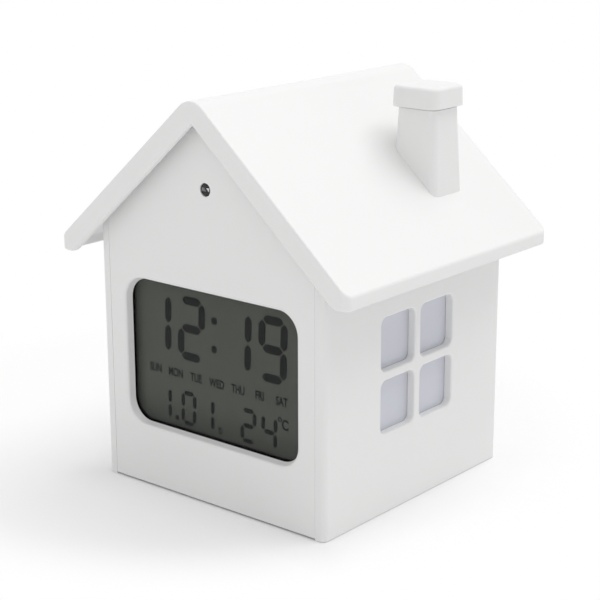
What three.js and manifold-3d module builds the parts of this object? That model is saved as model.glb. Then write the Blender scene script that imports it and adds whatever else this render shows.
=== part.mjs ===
// House-shaped desk clock: display, calendar, thermometer and night light in a gabled case.
// Millimetres, +Z up. The origin is on the table under the middle of the house. The display
// looks towards -Y, and +X is to the right of someone who faces it.

import * as THREE from "three";
import { mergeVertices } from "three/addons/utils/BufferGeometryUtils.js";
import Module from "manifold-3d";

const wasm = await Module();
wasm.setup();

// Case: two side walls and a floor in one moulding, closed by a panel at each end
const houseWidth = 80;
const houseDepth = 80;
const wallThickness = 2.4;
const cornerRadius = 2.2;
const eavesHeight = 70.6;
const jambWidth = 3.2;
const stopWidth = 2;
const stopThickness = 2;
const floorLift = 0.6;
const floorThickness = 2;
const panelThickness = 2.2;
const panelLift = 0.5;

// Roof: a gabled skin with a lip that hangs down all round
const roofPitch = THREE.MathUtils.degToRad(41.4);
const roofThickness = 6.1;
const roofSkin = 2.2;
const roofLip = 2;
const eaveReach = 11;
const gableReach = 5;
const rearReach = 6.3;
const ridgeRadius = 6;
const fasciaHeight = 3.8;
const eaveRadius = 1;
const soffitRadius = 4;
const roofCorner = 2.4;
const roofEdge = 0.8;
const roofBossRadius = 3;
const roofBossInset = 9;
const roofBossSpread = 28;
const tabHeight = 66;
const tabThickness = 2.5;
const tabLength = 8;
const tabMargin = 4;

// Side windows: four panes, a milky diffuser, a light box and its lamp board
const paneSize = 15;
const paneRadius = 2.2;
const muntin = 2.5;
const windowHeight = 39.1;
const diffuserThickness = 1.2;
const diffuserLap = 1.2;
const boxWall = 1.2;
const boxDepth = 8;
const lampBoardHeight = 12;
const lampSize = 5;
const lampHeight = 1.6;

// Display, from the front panel back to the main board
const displayWidth = 61.2;
const displayHeight = 41.8;
const displayRadius = 6.4;
const displayCentre = 39.3;
const glassMargin = 1;
const glassLedge = 4;
const displayWindowThickness = 1;
const glassThickness = 2.2;
const backlightThickness = 2.6;
const holderWall = 1.8;
const zebraHeight = 2.4;
const zebraInset = 3;

// Circuit boards and what stands on them
const boardThickness = 1.6;
const smallBoardThickness = 1.2;
const boardBottom = 5.5;
const boardTongue = 48;
const sensorTongue = 16;
const sensorCrown = 4;
const boardBossRadius = 2.6;
const boardBossMargin = 1.3;
const lowerBossSpread = 26;
const upperBossSpread = 18;
const hookThickness = 1.2;
const hookCatch = 1.1;
const hookHeight = 4;
const lowerHookHeight = 9;
const upperHookHeight = 68;
const chipRadius = 7;
const chipHeight = 2;
const chipPlace = [6, 36];
const crystalRadius = 1.5;
const crystalLength = 8;
const crystalPlace = [-14, 30];
const probeRadius = 1.3;
const probeOffset = [-2, 5.4];
const probeLead = 3;
const probeLeadSpread = 0.65;

// Light sensor in the gable
const sensorHeight = 88.2;
const sensorRadius = 1.65;
const sensorFlange = 2.2;
const sensorFlangeThickness = 0.8;
const sensorDome = 0.6;
const sensorRecess = 0.4;
const sensorDepth = 3;
const sensorLeadSpread = 1.27;
const leadRadius = 0.3;
const sleeveWall = 1;

// Chimney: a tapered stack, a press cap on a stem, and the key under it
const chimneyX = 28.7;
const chimneyY = 18.5;
const stackTop = 105.5;
const stackWidth = 12.9;
const stackDepth = 11.7;
const stackRadius = 2;
const stackDraft = THREE.MathUtils.degToRad(2.5);
const stackEdge = 0.4;
const stackCover = 1.6;
const spigotWidth = 10.4;
const spigotDrop = 2.2;
const boreRadius = 4.2;
const guideThickness = 1.6;
const capWidth = 15;
const capDepth = 15;
const capHeight = 5.5;
const capRadius = 3;
const capEdge = 1;
const capGap = 0.55;
const capTravel = 0.4;
const neckWidth = 8.8;
const neckLength = 6;
const stemRadius = 2.2;
const clipThickness = 0.7;
const clipRadius = 3.8;
const grooveDepth = 0.5;
const clipMouth = THREE.MathUtils.degToRad(70);
const stemTip = 1.2;
const springRadius = 3.2;
const springWire = 0.35;
const springTurns = 8;
const snoozeBoardWidth = 15;
const snoozeBoardDepth = 9;
const snoozePostRadius = 1.5;
const snoozePostSpread = 5.6;

// Keys on the rear panel
const keyHeight = 60;
const keyPitch = 12;
const keyCount = 4;
const keyRowStart = -24;
const keyRadius = 3.2;
const keyProud = 0.9;
const keyCrown = 0.6;
const keyFlangeRadius = 4.2;
const keyFlangeThickness = 1;
const keyTailRadius = 1.6;
const keyTailLength = 1.4;
const keyTravel = 0.5;
const switchSize = 6;
const switchBody = 2.6;
const switchPlunger = 0.8;
const switchPlungerRadius = 1.6;
const keyBoardWidth = 58;
const keyBoardHeight = 12;
const keyPostDrop = 3.6;
const keyPostRadius = 2.1;

// Slide switch beside the keys
const slideX = 24;
const slideTravel = 1.5;
const slideBodyWidth = 8.6;
const slideBodyHeight = 4.4;
const slideBodyDepth = 4.2;
const knobWidth = 3;
const knobHeight = 2.6;
const knobProud = 0.8;

// Battery bay with three cells and a hinged door
const cellRadius = 5.25;
const cellLength = 44.5;
const cellNubRadius = 1.9;
const cellNubLength = 0.8;
const cellChamfer = 0.5;
const cellGap = 0.5;
const cellCount = 3;
const bayHeight = 31.1;
const bayWall = 1.6;
const baySpringRoom = 4.1;
const contactThickness = 0.5;
const contactWidth = 8;
const contactSpringRadius = 3.4;
const contactSpringTip = 1.9;
const contactWire = 0.35;
const contactTurns = 3;
const cradleHeight = 2.4;
const cradleWidth = 0.8;
const doorMargin = 3;
const doorThickness = 1.8;
const doorFrame = 2.6;
const doorFrameDepth = 1.8;
const hingePinRadius = 0.65;
const hingePinLength = 1.4;
const notchWidth = 12;
const notchHeight = 2.6;
const notchDepth = 1.3;
const notchRadius = 2.3;
const gripCount = 3;
const gripPitch = 1.8;
const gripWidth = 14;
const gripHeight = 0.7;
const gripProud = 0.4;

// Sounder behind the rear gable
const sounderHeight = 80;
const sounderRadius = 11;
const sounderDepth = 4;
const sounderPort = 1.5;
const soundHoleRadius = 0.9;
const soundHoleRing = 4;
const soundHoleCount = 6;
const cupWall = 1.4;

// Self-tapping screws
const screwRadius = 1.2;
const screwHeadRadius = 2.5;
const screwHeadHeight = 1.3;
const screwPoint = 1;
const screwGrip = 5;
const rearBossRadius = 3.2;
const rearBossLength = 6.5;
const rearBossInset = 7.6;
const rearScrewLow = 5.8;
const rearScrewHigh = 58;
const counterboreDepth = 1.4;

// Clearances: fitted edges, resting faces and moving pieces
const fit = 0.15;
const seat = 0.1;
const slip = 0.3;
const weld = 0.5;
const through = 1;

// Places worked out from the sizes above
const halfWidth = houseWidth / 2;
const halfDepth = houseDepth / 2;
const wallInner = halfWidth - wallThickness;
const jambInner = halfWidth - jambWidth;
const stopInner = jambInner - stopWidth;
const panelInner = halfDepth - panelThickness;
const stopFace = panelInner - fit;
const stopBack = stopFace - stopThickness;
const floorTop = floorLift + floorThickness;
const panelHalf = jambInner - fit;

const slope = Math.tan(roofPitch);
const roofRise = roofThickness / Math.cos(roofPitch);
const eaveHalf = halfWidth + eaveReach;
const roofFront = -halfDepth - gableReach;
const roofRear = halfDepth + rearReach;
const roofBossX = halfWidth - roofBossInset;
const tabTop = tabHeight + tabThickness;
const undersideAt = (x) => eavesHeight + (halfWidth - Math.abs(x)) * slope;
const roofTopAt = (x) => undersideAt(x) + roofRise;

const panePitch = paneSize + muntin;
const windowHalf = paneSize + muntin / 2;
const boxInner = windowHalf + diffuserLap;
const boxOuter = boxInner + boxWall;
const lampBoardFace = wallInner - boxDepth - seat;

const displayTop = displayCentre + displayHeight / 2;
const displayBottom = displayCentre - displayHeight / 2;
const glassHalf = displayWidth / 2 + glassMargin;
const glassTop = displayTop + glassMargin;
const glassBottom = displayBottom - glassLedge;
const glassCentre = (glassTop + glassBottom) / 2;
const displayWindowFront = seat - panelInner;
const glassFront = displayWindowFront + displayWindowThickness + seat;
const glassRear = glassFront + glassThickness;
const backlightFront = glassRear + seat;
const boardFront = backlightFront + backlightThickness + seat;
const boardRear = boardFront + boardThickness;
const holderHalf = glassHalf + slip + holderWall;
const holderTop = glassTop + slip + holderWall;
const holderBottom = glassBottom - slip - holderWall;
const lowerBossHeight = holderBottom - boardBossMargin - boardBossRadius;
const upperBossHeight = holderTop + boardBossMargin + boardBossRadius;
const probePlace = [probeOffset[0] - lowerBossSpread, probeOffset[1] + lowerBossHeight];
const boardBosses = [
  [-lowerBossSpread, lowerBossHeight],
  [lowerBossSpread, lowerBossHeight],
  [-upperBossSpread, upperBossHeight],
  [upperBossSpread, upperBossHeight],
];

const guideBottom = undersideAt(chimneyX) - spigotDrop;
const guideTop = guideBottom + guideThickness;
const capBottom = stackTop + capGap;
const neckBottom = stackTop - neckLength;
const clipTop = guideBottom - seat;
const clipBottom = clipTop - clipThickness;
const stemBottom = clipBottom - stemTip;
const snoozeBoardTop = stemBottom - capTravel - slip - switchPlunger - switchBody;
const grooveRadius = stemRadius - grooveDepth;

const keyFlangeFace = panelInner - seat;
const keyTailEnd = keyFlangeFace - keyFlangeThickness - keyTailLength;
const keyBoardFace = keyTailEnd - keyTravel - slip - switchPlunger - switchBody;
const keyXs = Array.from({ length: keyCount }, (_, index) => keyRowStart + index * keyPitch);
const keyBoardPosts = [keyXs[0], keyXs[keyCount - 2]].map((x) => x + keyPitch / 2);

const bayHalf = (cellLength + baySpringRoom) / 2 + contactThickness + 2 * seat;
const bayBottom = bayHeight - (cellCount * 2 * cellRadius + (cellCount + 1) * cellGap) / 2;
const bayTop = 2 * bayHeight - bayBottom;
const doorInner = halfDepth - doorThickness;
const cellY = doorInner - cellGap - cellRadius;
const bayFloor = cellY - cellRadius - slip;
const cellPitch = 2 * cellRadius + cellGap;
const cellHeights = Array.from({ length: cellCount }, (_, index) => {
  return bayBottom + cellGap + cellRadius + index * cellPitch;
});
const doorHalf = bayHalf + doorMargin;
const doorBottom = bayBottom - doorMargin;
const doorTop = bayTop + doorMargin;
const hingeRadius = doorThickness / 2;
const hingeY = halfDepth - hingeRadius;
const hingeZ = doorBottom + hingeRadius;

const rearBossX = halfWidth - rearBossInset;
const rearScrews = [-1, 1].flatMap((side) => [
  [side * rearBossX, rearScrewLow],
  [side * rearBossX, rearScrewHigh],
]);
const roofScrews = [-1, 1].flatMap((side) => [
  [side * roofBossX, -roofBossSpread],
  [side * roofBossX, roofBossSpread],
]);

// Joining and cutting of closed meshes
function solid(shape) {
  if (!shape.isBufferGeometry) return shape;
  const bare = shape.clone();
  bare.deleteAttribute("normal");
  bare.deleteAttribute("uv");
  const merged = mergeVertices(bare);
  const corners = merged.index.array;
  const triVerts = [];
  for (let i = 0; i < corners.length; i += 3) {
    const [a, b, c] = corners.slice(i, i + 3);
    if (a !== b && b !== c && c !== a) triVerts.push(a, b, c);
  }
  const mesh = new wasm.Mesh({
    numProp: 3,
    vertProperties: Float32Array.from(merged.attributes.position.array),
    triVerts: Uint32Array.from(triVerts),
  });
  return new wasm.Manifold(mesh);
}

function join(...pieces) {
  return pieces.map(solid).reduce((whole, piece) => whole.add(piece));
}

function cut(whole, ...tools) {
  return tools.reduce((rest, tool) => rest.subtract(solid(tool)), solid(whole));
}

function common(first, second) {
  return solid(first).intersect(solid(second));
}

function geometryOf(body) {
  const mesh = body.getMesh();
  const geometry = new THREE.BufferGeometry();
  geometry.setAttribute("position", new THREE.BufferAttribute(mesh.vertProperties, 3));
  geometry.setIndex(new THREE.BufferAttribute(mesh.triVerts, 1));
  geometry.computeVertexNormals();
  return geometry;
}

// Outlines
function polygon(corners) {
  return new THREE.Shape(corners.map(([x, y]) => new THREE.Vector2(x, y)));
}

// Each corner is [x, y, radius]; a radius of 0 leaves it sharp.
function roundedPolygon(corners) {
  const shape = new THREE.Shape();
  corners.forEach(([x, y, radius], index) => {
    const corner = new THREE.Vector2(x, y);
    const [beforeX, beforeY] = corners[(index + corners.length - 1) % corners.length];
    const [afterX, afterY] = corners[(index + 1) % corners.length];
    const back = new THREE.Vector2(beforeX, beforeY).sub(corner).normalize();
    const ahead = new THREE.Vector2(afterX, afterY).sub(corner).normalize();
    const half = Math.acos(THREE.MathUtils.clamp(back.dot(ahead), -1, 1)) / 2;
    const start = corner.clone().addScaledVector(back, radius / Math.tan(half));
    if (index === 0) shape.moveTo(start.x, start.y);
    if (radius === 0) {
      shape.lineTo(x, y);
      return;
    }
    const inwards = back.clone().add(ahead).normalize();
    const centre = corner.clone().addScaledVector(inwards, radius / Math.sin(half));
    const end = corner.clone().addScaledVector(ahead, radius / Math.tan(half));
    const from = start.sub(centre).angle();
    const to = end.sub(centre).angle();
    shape.absarc(centre.x, centre.y, radius, from, to, back.cross(ahead) > 0);
  });
  shape.closePath();
  return shape;
}

function roundedRectangle(width, height, radius, x = 0, y = 0) {
  return roundedPolygon([
    [x - width / 2, y - height / 2, radius],
    [x + width / 2, y - height / 2, radius],
    [x + width / 2, y + height / 2, radius],
    [x - width / 2, y + height / 2, radius],
  ]);
}

// Gabled outline seen from the front, covered by a given thickness of roof
function gable(half, bottom, cover) {
  const drop = cover / Math.cos(roofPitch);
  const shoulder = roofTopAt(half) - drop;
  return roundedPolygon([
    [0, roofTopAt(0) - drop, ridgeRadius - cover],
    [-half, shoulder, 0],
    [-half, bottom, 0],
    [half, bottom, 0],
    [half, shoulder, 0],
  ]);
}

// Straight pieces: a plan raised along Z, a front view run along Y, a side view run along X
const sideView = new THREE.Matrix4().makeBasis(
  new THREE.Vector3(0, 1, 0),
  new THREE.Vector3(0, 0, 1),
  new THREE.Vector3(1, 0, 0),
);

function raised(plan, z0, z1, steps = 3) {
  const options = { depth: z1 - z0, bevelEnabled: false, curveSegments: steps };
  return new THREE.ExtrudeGeometry(plan, options).translate(0, 0, z0);
}

function runBack(frontView, y0, y1, steps = 3) {
  return raised(frontView, 0, y1 - y0, steps).rotateX(Math.PI / 2).translate(0, y1, 0);
}

function runAcross(view, x0, x1, steps = 3) {
  return raised(view, 0, x1 - x0, steps).applyMatrix4(sideView).translate(x0, 0, 0);
}

function block([x0, x1], [y0, y1], [z0, z1]) {
  const box = new THREE.BoxGeometry(x1 - x0, y1 - y0, z1 - z0);
  return box.translate((x0 + x1) / 2, (y0 + y1) / 2, (z0 + z1) / 2);
}

// Plan with rounded corners, raised between two heights, with rounded top and bottom edges
function softBlock(width, depth, radius, z0, z1, edge) {
  const options = {
    depth: z1 - z0 - 2 * edge,
    bevelThickness: edge,
    bevelSize: edge,
    bevelOffset: -edge,
    bevelSegments: 3,
    curveSegments: 3,
  };
  const plan = roundedRectangle(width, depth, radius);
  return new THREE.ExtrudeGeometry(plan, options).translate(0, 0, z0 + edge);
}

// Round pieces: pins along each axis and turned profiles about Z
function pinY(radius, y0, y1, x, z, sides = 16) {
  const pin = new THREE.CylinderGeometry(radius, radius, y1 - y0, sides);
  return pin.translate(x, (y0 + y1) / 2, z);
}

function pinZ(radius, z0, z1, x, y, sides = 16) {
  const pin = new THREE.CylinderGeometry(radius, radius, z1 - z0, sides);
  return pin.rotateX(Math.PI / 2).translate(x, y, (z0 + z1) / 2);
}

function pinX(radius, x0, x1, y, z, sides = 16) {
  const pin = new THREE.CylinderGeometry(radius, radius, x1 - x0, sides);
  return pin.rotateZ(Math.PI / 2).translate((x0 + x1) / 2, y, z);
}

function turned(profile, sides = 20) {
  const points = profile.map(([radius, height]) => new THREE.Vector2(radius, height));
  return new THREE.LatheGeometry(points, sides).rotateX(Math.PI / 2);
}

// Quarter ellipse from a rim at base up to the axis, as profile points
function dome(radius, base, height, steps) {
  return Array.from({ length: steps + 1 }, (_, index) => {
    const angle = (Math.PI / 2) * (index / steps);
    const away = index === steps ? 0 : radius * Math.cos(angle);
    return [away, base + height * Math.sin(angle)];
  });
}

// Wire wound into a cylindrical or conical coil along Z
class Coil extends THREE.Curve {
  constructor(startRadius, endRadius, length, turns) {
    super();
    this.startRadius = startRadius;
    this.endRadius = endRadius;
    this.length = length;
    this.turns = turns;
  }

  getPoint(t, target = new THREE.Vector3()) {
    const radius = THREE.MathUtils.lerp(this.startRadius, this.endRadius, t);
    const angle = 2 * Math.PI * this.turns * t;
    return target.set(radius * Math.cos(angle), radius * Math.sin(angle), this.length * t);
  }
}

function coilGap(coil, wireRadius) {
  const perTurn = 24;
  const points = coil.getPoints(Math.round(coil.turns * perTurn));
  let least = Infinity;
  points.forEach((point, index) => {
    points.slice(index + perTurn / 2).forEach((other) => {
      least = Math.min(least, point.distanceTo(other));
    });
  });
  return least - 2 * wireRadius;
}

function wound(name, coil, wireRadius) {
  const wireSides = 5;
  const stepsPerTurn = 8;
  const section = new THREE.Shape();
  for (let side = 0; side < wireSides; side += 1) {
    const angle = (2 * Math.PI * side) / wireSides;
    const place = [wireRadius * Math.cos(angle), wireRadius * Math.sin(angle)];
    if (side === 0) section.moveTo(...place);
    else section.lineTo(...place);
  }
  section.closePath();
  console.log(`${name}: least gap between turns ${coilGap(coil, wireRadius).toFixed(2)} mm`);
  return new THREE.ExtrudeGeometry(section, { steps: coil.turns * stepsPerTurn, extrudePath: coil });
}

// House shell

// Plan of the right side wall: rounded outer corners, and a jamb and a stop at each end
function wallPlan() {
  const plan = new THREE.Shape();
  const arcX = halfWidth - cornerRadius;
  const arcY = halfDepth - cornerRadius;
  plan.moveTo(jambInner, -halfDepth);
  plan.lineTo(arcX, -halfDepth);
  plan.absarc(arcX, -arcY, cornerRadius, -Math.PI / 2, 0);
  plan.lineTo(halfWidth, arcY);
  plan.absarc(arcX, arcY, cornerRadius, 0, Math.PI / 2);
  plan.lineTo(jambInner, halfDepth);
  plan.lineTo(jambInner, stopFace);
  plan.lineTo(stopInner, stopFace);
  plan.lineTo(stopInner, stopBack);
  plan.lineTo(wallInner, stopBack);
  plan.lineTo(wallInner, -stopBack);
  plan.lineTo(stopInner, -stopBack);
  plan.lineTo(stopInner, -stopFace);
  plan.lineTo(jambInner, -stopFace);
  plan.closePath();
  return plan;
}

// Runs between two distances from the middle on the right (side 1) or the left (side -1)
function span(side, near, far) {
  return side > 0 ? [near, far] : [-far, -near];
}

function windowPanes(side) {
  const places = [-panePitch / 2, panePitch / 2];
  return places.flatMap((y) => places.map((z) => {
    const outline = roundedRectangle(paneSize, paneSize, paneRadius, y, windowHeight + z);
    return runAcross(outline, ...span(side, wallInner - through, halfWidth + through), 2);
  }));
}

function lightBox(side) {
  const outline = roundedRectangle(2 * boxOuter, 2 * boxOuter, paneRadius, 0, windowHeight);
  outline.holes.push(roundedRectangle(2 * boxInner, 2 * boxInner, boxWall, 0, windowHeight));
  return runAcross(outline, ...span(side, wallInner - boxDepth, wallInner + weld), 1);
}

function roofTab([x, y]) {
  const reach = Math.abs(x) - tabMargin;
  const edges = [y - tabLength / 2, y + tabLength / 2];
  const tab = block(span(Math.sign(x), reach, wallInner + weld), edges, [tabHeight, tabTop]);
  return cut(tab, pinZ(screwRadius + slip, tabHeight - through, tabTop + through, x, y));
}

function houseShell() {
  const wall = raised(wallPlan(), 0, undersideAt(0));
  const walls = join(wall, wall.clone().rotateZ(Math.PI));
  const shape = common(walls, runBack(gable(halfWidth, 0, roofSkin + fit), -halfDepth, halfDepth));
  const floorHalf = wallInner + weld;
  const floor = block([-floorHalf, floorHalf], [-stopFace, stopFace], [floorLift, floorTop]);
  const bossFront = stopFace - rearBossLength;
  const bosses = rearScrews.map(([x, z]) => pinY(rearBossRadius, bossFront, stopFace, x, z));
  const pilots = rearScrews.map(([x, z]) => {
    return pinY(screwRadius + seat, bossFront - through, stopFace + through, x, z, 12);
  });
  const boxes = [-1, 1].map(lightBox);
  const whole = join(shape, floor, ...boxes, ...roofScrews.map(roofTab), ...bosses);
  return cut(whole, ...[-1, 1].flatMap(windowPanes), ...pilots);
}

// Front panel

// Snap hook behind a stop of the shell, drawn in plan
function hookPlan(side) {
  const outer = stopInner - slip;
  const inner = outer - hookThickness;
  const catchFront = seat - stopBack;
  const tip = catchFront + hookThickness;
  return polygon([
    [side * inner, -panelInner - weld],
    [side * outer, -panelInner - weld],
    [side * outer, catchFront],
    [side * (outer + hookCatch), catchFront],
    [side * outer, tip],
    [side * inner, tip],
  ]);
}

function hooks() {
  return [lowerHookHeight, upperHookHeight].flatMap((height) => [-1, 1].map((side) => {
    return raised(hookPlan(side), height - hookHeight / 2, height + hookHeight / 2);
  }));
}

function frontPanel() {
  const front = -halfDepth;
  const inner = -panelInner;
  const plate = runBack(gable(panelHalf, panelLift, roofSkin + fit), front, inner);
  const opening = roundedRectangle(displayWidth, displayHeight, displayRadius, 0, displayCentre);
  const bossEnd = boardFront - seat;
  const bosses = boardBosses.map(([x, z]) => pinY(boardBossRadius, inner - weld, bossEnd, x, z));
  const pilots = boardBosses.map(([x, z]) => {
    return pinY(screwRadius + seat, inner + seat, bossEnd + through, x, z, 12);
  });
  const sleeveBore = sensorFlange + slip;
  const sleeve = pinY(sleeveBore + sleeveWall, inner - weld, inner + sensorDepth, 0, sensorHeight);
  const bore = pinY(sleeveBore, inner, inner + sensorDepth + through, 0, sensorHeight);
  const sensorHole = pinY(sensorRadius + fit, front - through, inner + through, 0, sensorHeight);
  const whole = join(plate, ...hooks(), ...bosses, sleeve);
  return cut(whole, runBack(opening, front - through, inner + through, 5), bore, sensorHole, ...pilots);
}

// Display stack

function displayPlate(width, bottom, top, front, rear) {
  return block([-width / 2, width / 2], [front, rear], [bottom, top]);
}

function lcdHolder() {
  const outer = roundedRectangle(2 * holderHalf, holderTop - holderBottom, holderWall, 0, glassCentre);
  const gapWidth = 2 * (glassHalf + slip);
  const gapHeight = glassTop - glassBottom + 2 * slip;
  outer.holes.push(roundedRectangle(gapWidth, gapHeight, seat, 0, glassCentre));
  return solid(runBack(outer, seat - panelInner, boardFront - seat, 1));
}

function zebraConnector() {
  const half = glassHalf - zebraInset;
  const bottom = glassBottom + (glassLedge - zebraHeight) / 2;
  return displayPlate(2 * half, bottom, bottom + zebraHeight, backlightFront, boardFront - seat);
}

function mainBoard() {
  const shoulder = holderTop;
  const bossLine = upperBossHeight + boardBossRadius;
  const crown = sensorHeight + sensorCrown;
  const outline = polygon([
    [-holderHalf, boardBottom],
    [holderHalf, boardBottom],
    [holderHalf, shoulder],
    [boardTongue / 2, shoulder],
    [boardTongue / 2, bossLine],
    [sensorTongue / 2, bossLine],
    [sensorTongue / 2, crown],
    [-sensorTongue / 2, crown],
    [-sensorTongue / 2, bossLine],
    [-boardTongue / 2, bossLine],
    [-boardTongue / 2, shoulder],
    [-holderHalf, shoulder],
  ]);
  const holes = boardBosses.map(([x, z]) => {
    return pinY(screwRadius + slip, boardFront - through, boardRear + through, x, z);
  });
  return cut(runBack(outline, boardFront, boardRear), ...holes);
}

// Round blob of hard resin over the clock's chip, with a low dome
function controllerChip() {
  const blob = turned([[0, 0], ...dome(chipRadius, 0, chipHeight, 4)], 18);
  return blob.rotateX(-Math.PI / 2).translate(chipPlace[0], boardRear + seat, chipPlace[1]);
}

function clockCrystal() {
  const y = boardRear + seat + crystalRadius;
  const [x, z] = crystalPlace;
  return pinX(crystalRadius, x - crystalLength / 2, x + crystalLength / 2, y, z, 14);
}

// Bead of the thermometer on its two leads
function temperatureProbe() {
  const [x, z] = probePlace;
  const y = boardRear + probeLead + probeRadius;
  const bead = new THREE.SphereGeometry(probeRadius, 10, 6).translate(x, y, z);
  const leads = [-1, 1].map((side) => {
    return pinY(leadRadius, boardRear + seat, y, x + side * probeLeadSpread, z, 6);
  });
  return join(bead, ...leads);
}

// Lens with a domed front, a flange in the sleeve and two leads to the board
function lightSensor() {
  const tip = -halfDepth + sensorRecess;
  const rear = sensorDepth - panelInner;
  const length = rear - tip;
  const lens = turned([
    [0, 0],
    [sensorFlange, 0],
    [sensorFlange, sensorFlangeThickness],
    [sensorRadius, sensorFlangeThickness],
    ...dome(sensorRadius, length - sensorDome, sensorDome, 3),
  ], 16);
  lens.rotateX(Math.PI / 2).translate(0, rear, sensorHeight);
  const leads = [-1, 1].map((side) => {
    const x = (side * sensorLeadSpread) / 2;
    return pinY(leadRadius, rear - weld, boardFront - seat, x, sensorHeight, 6);
  });
  return join(lens, ...leads);
}

// Side windows

function diffuser(side) {
  const size = 2 * (boxInner - slip);
  const outline = roundedRectangle(size, size, boxWall, 0, windowHeight);
  const outer = wallInner - seat;
  return runAcross(outline, ...span(side, outer - diffuserThickness, outer), 2);
}

function lampBoard(side) {
  const heights = [windowHeight - lampBoardHeight / 2, windowHeight + lampBoardHeight / 2];
  const across = span(side, lampBoardFace - smallBoardThickness, lampBoardFace);
  return block(across, [-boxOuter, boxOuter], heights);
}

function lamp(side) {
  const edges = [-lampSize / 2, lampSize / 2];
  const heights = edges.map((edge) => windowHeight + edge);
  return block(span(side, lampBoardFace + seat, lampBoardFace + seat + lampHeight), edges, heights);
}

// Roof

function roofProfile() {
  const eaveTop = roofTopAt(eaveHalf);
  const soffit = eaveTop - fasciaHeight;
  const soffitX = halfWidth + (eavesHeight - soffit) / slope;
  return roundedPolygon([
    [soffitX, soffit, soffitRadius],
    [eaveHalf, soffit, eaveRadius],
    [eaveHalf, eaveTop, eaveRadius],
    [0, roofTopAt(0), ridgeRadius],
    [-eaveHalf, eaveTop, eaveRadius],
    [-eaveHalf, soffit, eaveRadius],
    [-soffitX, soffit, soffitRadius],
    [0, undersideAt(0), 0],
  ]);
}

function roof() {
  const options = {
    depth: roofRear - roofFront - 2 * roofEdge,
    bevelThickness: roofEdge,
    bevelSize: roofEdge,
    bevelOffset: -roofEdge,
    bevelSegments: 2,
    curveSegments: 3,
  };
  const slab = new THREE.ExtrudeGeometry(roofProfile(), options);
  slab.rotateX(Math.PI / 2).translate(0, roofRear - roofEdge, 0);
  const roofMiddle = (roofFront + roofRear) / 2;
  const plan = roundedRectangle(2 * eaveHalf, roofRear - roofFront, roofCorner, 0, roofMiddle);
  const coreOutline = gable(eaveHalf - roofLip, 0, roofSkin);
  const core = runBack(coreOutline, roofFront + roofLip, roofRear - roofLip);
  const shell = cut(common(slab, raised(plan, 0, roofTopAt(0))), core);
  const holeHalf = spigotWidth / 2 + fit;
  const spigotHole = block(
    [chimneyX - holeHalf, chimneyX + holeHalf],
    [chimneyY - holeHalf, chimneyY + holeHalf],
    [tabTop, stackTop],
  );
  const bosses = roofScrews.map(([x, y]) => pinZ(roofBossRadius, tabTop + seat, stackTop, x, y));
  const posts = [-1, 1].map((side) => {
    const x = chimneyX + side * snoozePostSpread;
    return pinZ(snoozePostRadius, snoozeBoardTop + seat, stackTop, x, chimneyY, 12);
  });
  const underSkin = runBack(gable(halfWidth, 0, roofSkin / 2), -halfDepth, halfDepth);
  const pillars = common(join(...bosses, ...posts), underSkin);
  const pilots = roofScrews.map(([x, y]) => {
    return pinZ(screwRadius + seat, tabTop - through, tabTop + screwGrip + through, x, y, 12);
  });
  return cut(join(shell, pillars), spigotHole, ...pilots);
}

// Chimney, drawn about its own axis

// Roof surface under the chimney, a resting clearance above the tiles, as a solid below it
function roofUnderStack() {
  const reach = capWidth;
  const lift = seat / Math.cos(roofPitch);
  const outline = polygon([
    [-reach, 0],
    [reach, 0],
    [reach, roofTopAt(chimneyX + reach) + lift],
    [-reach, roofTopAt(chimneyX - reach) + lift],
  ]);
  return runBack(outline, -reach, reach);
}

// Rounded column that widens downwards from its top by the draft
function draftedColumn(bottom) {
  const column = softBlock(stackWidth, stackDepth, stackRadius, bottom, stackTop, stackEdge);
  const position = column.attributes.position;
  for (let i = 0; i < position.count; i += 1) {
    const spread = 2 * (stackTop - position.getZ(i)) * Math.tan(stackDraft);
    position.setX(i, position.getX(i) * (1 + spread / stackWidth));
    position.setY(i, position.getY(i) * (1 + spread / stackDepth));
  }
  return column;
}

function chimneyStack() {
  const spigotHalf = spigotWidth / 2;
  const column = cut(draftedColumn(roofTopAt(chimneyX + capWidth)), roofUnderStack());
  const spigotEdges = [-spigotHalf, spigotHalf];
  const spigot = block(spigotEdges, spigotEdges, [guideBottom, roofTopAt(chimneyX - spigotHalf) + weld]);
  const bore = pinZ(boreRadius, guideTop, stackTop - stackCover, 0, 0, 24);
  const neckHalf = neckWidth / 2 + slip;
  const neckFloor = neckBottom - capTravel - slip;
  const neckHole = block([-neckHalf, neckHalf], [-neckHalf, neckHalf], [neckFloor, stackTop + through]);
  const guideHole = pinZ(stemRadius + slip, guideBottom - through, guideTop + through, 0, 0);
  return cut(join(column, spigot), bore, neckHole, guideHole);
}

function chimneyCap() {
  const cap = softBlock(capWidth, capDepth, capRadius, capBottom, capBottom + capHeight, capEdge);
  const neckHalf = neckWidth / 2;
  const neck = block([-neckHalf, neckHalf], [-neckHalf, neckHalf], [neckBottom, capBottom + capEdge]);
  const stem = pinZ(stemRadius, stemBottom, neckBottom + weld, 0, 0);
  const grooveRing = cut(
    pinZ(stemRadius + through, clipBottom - seat, clipTop + seat, 0, 0),
    pinZ(grooveRadius, clipBottom - through, clipTop + through, 0, 0),
  );
  return cut(join(cap, neck, stem), grooveRing);
}

function chimneySpring() {
  const lift = guideTop + springWire + seat;
  const length = neckBottom - guideTop - 2 * (springWire + seat);
  const coil = new Coil(springRadius, springRadius, length, springTurns);
  return solid(wound("chimney_spring", coil, springWire).translate(0, 0, lift));
}

// Open ring that snaps into the stem's groove from one side
function retainingClip() {
  const inner = grooveRadius + seat;
  const ring = new THREE.Shape();
  ring.absarc(0, 0, clipRadius, clipMouth / 2, 2 * Math.PI - clipMouth / 2);
  ring.absarc(0, 0, inner, 2 * Math.PI - clipMouth / 2, clipMouth / 2, true);
  ring.closePath();
  return solid(raised(ring, clipBottom, clipTop, 8));
}

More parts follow.
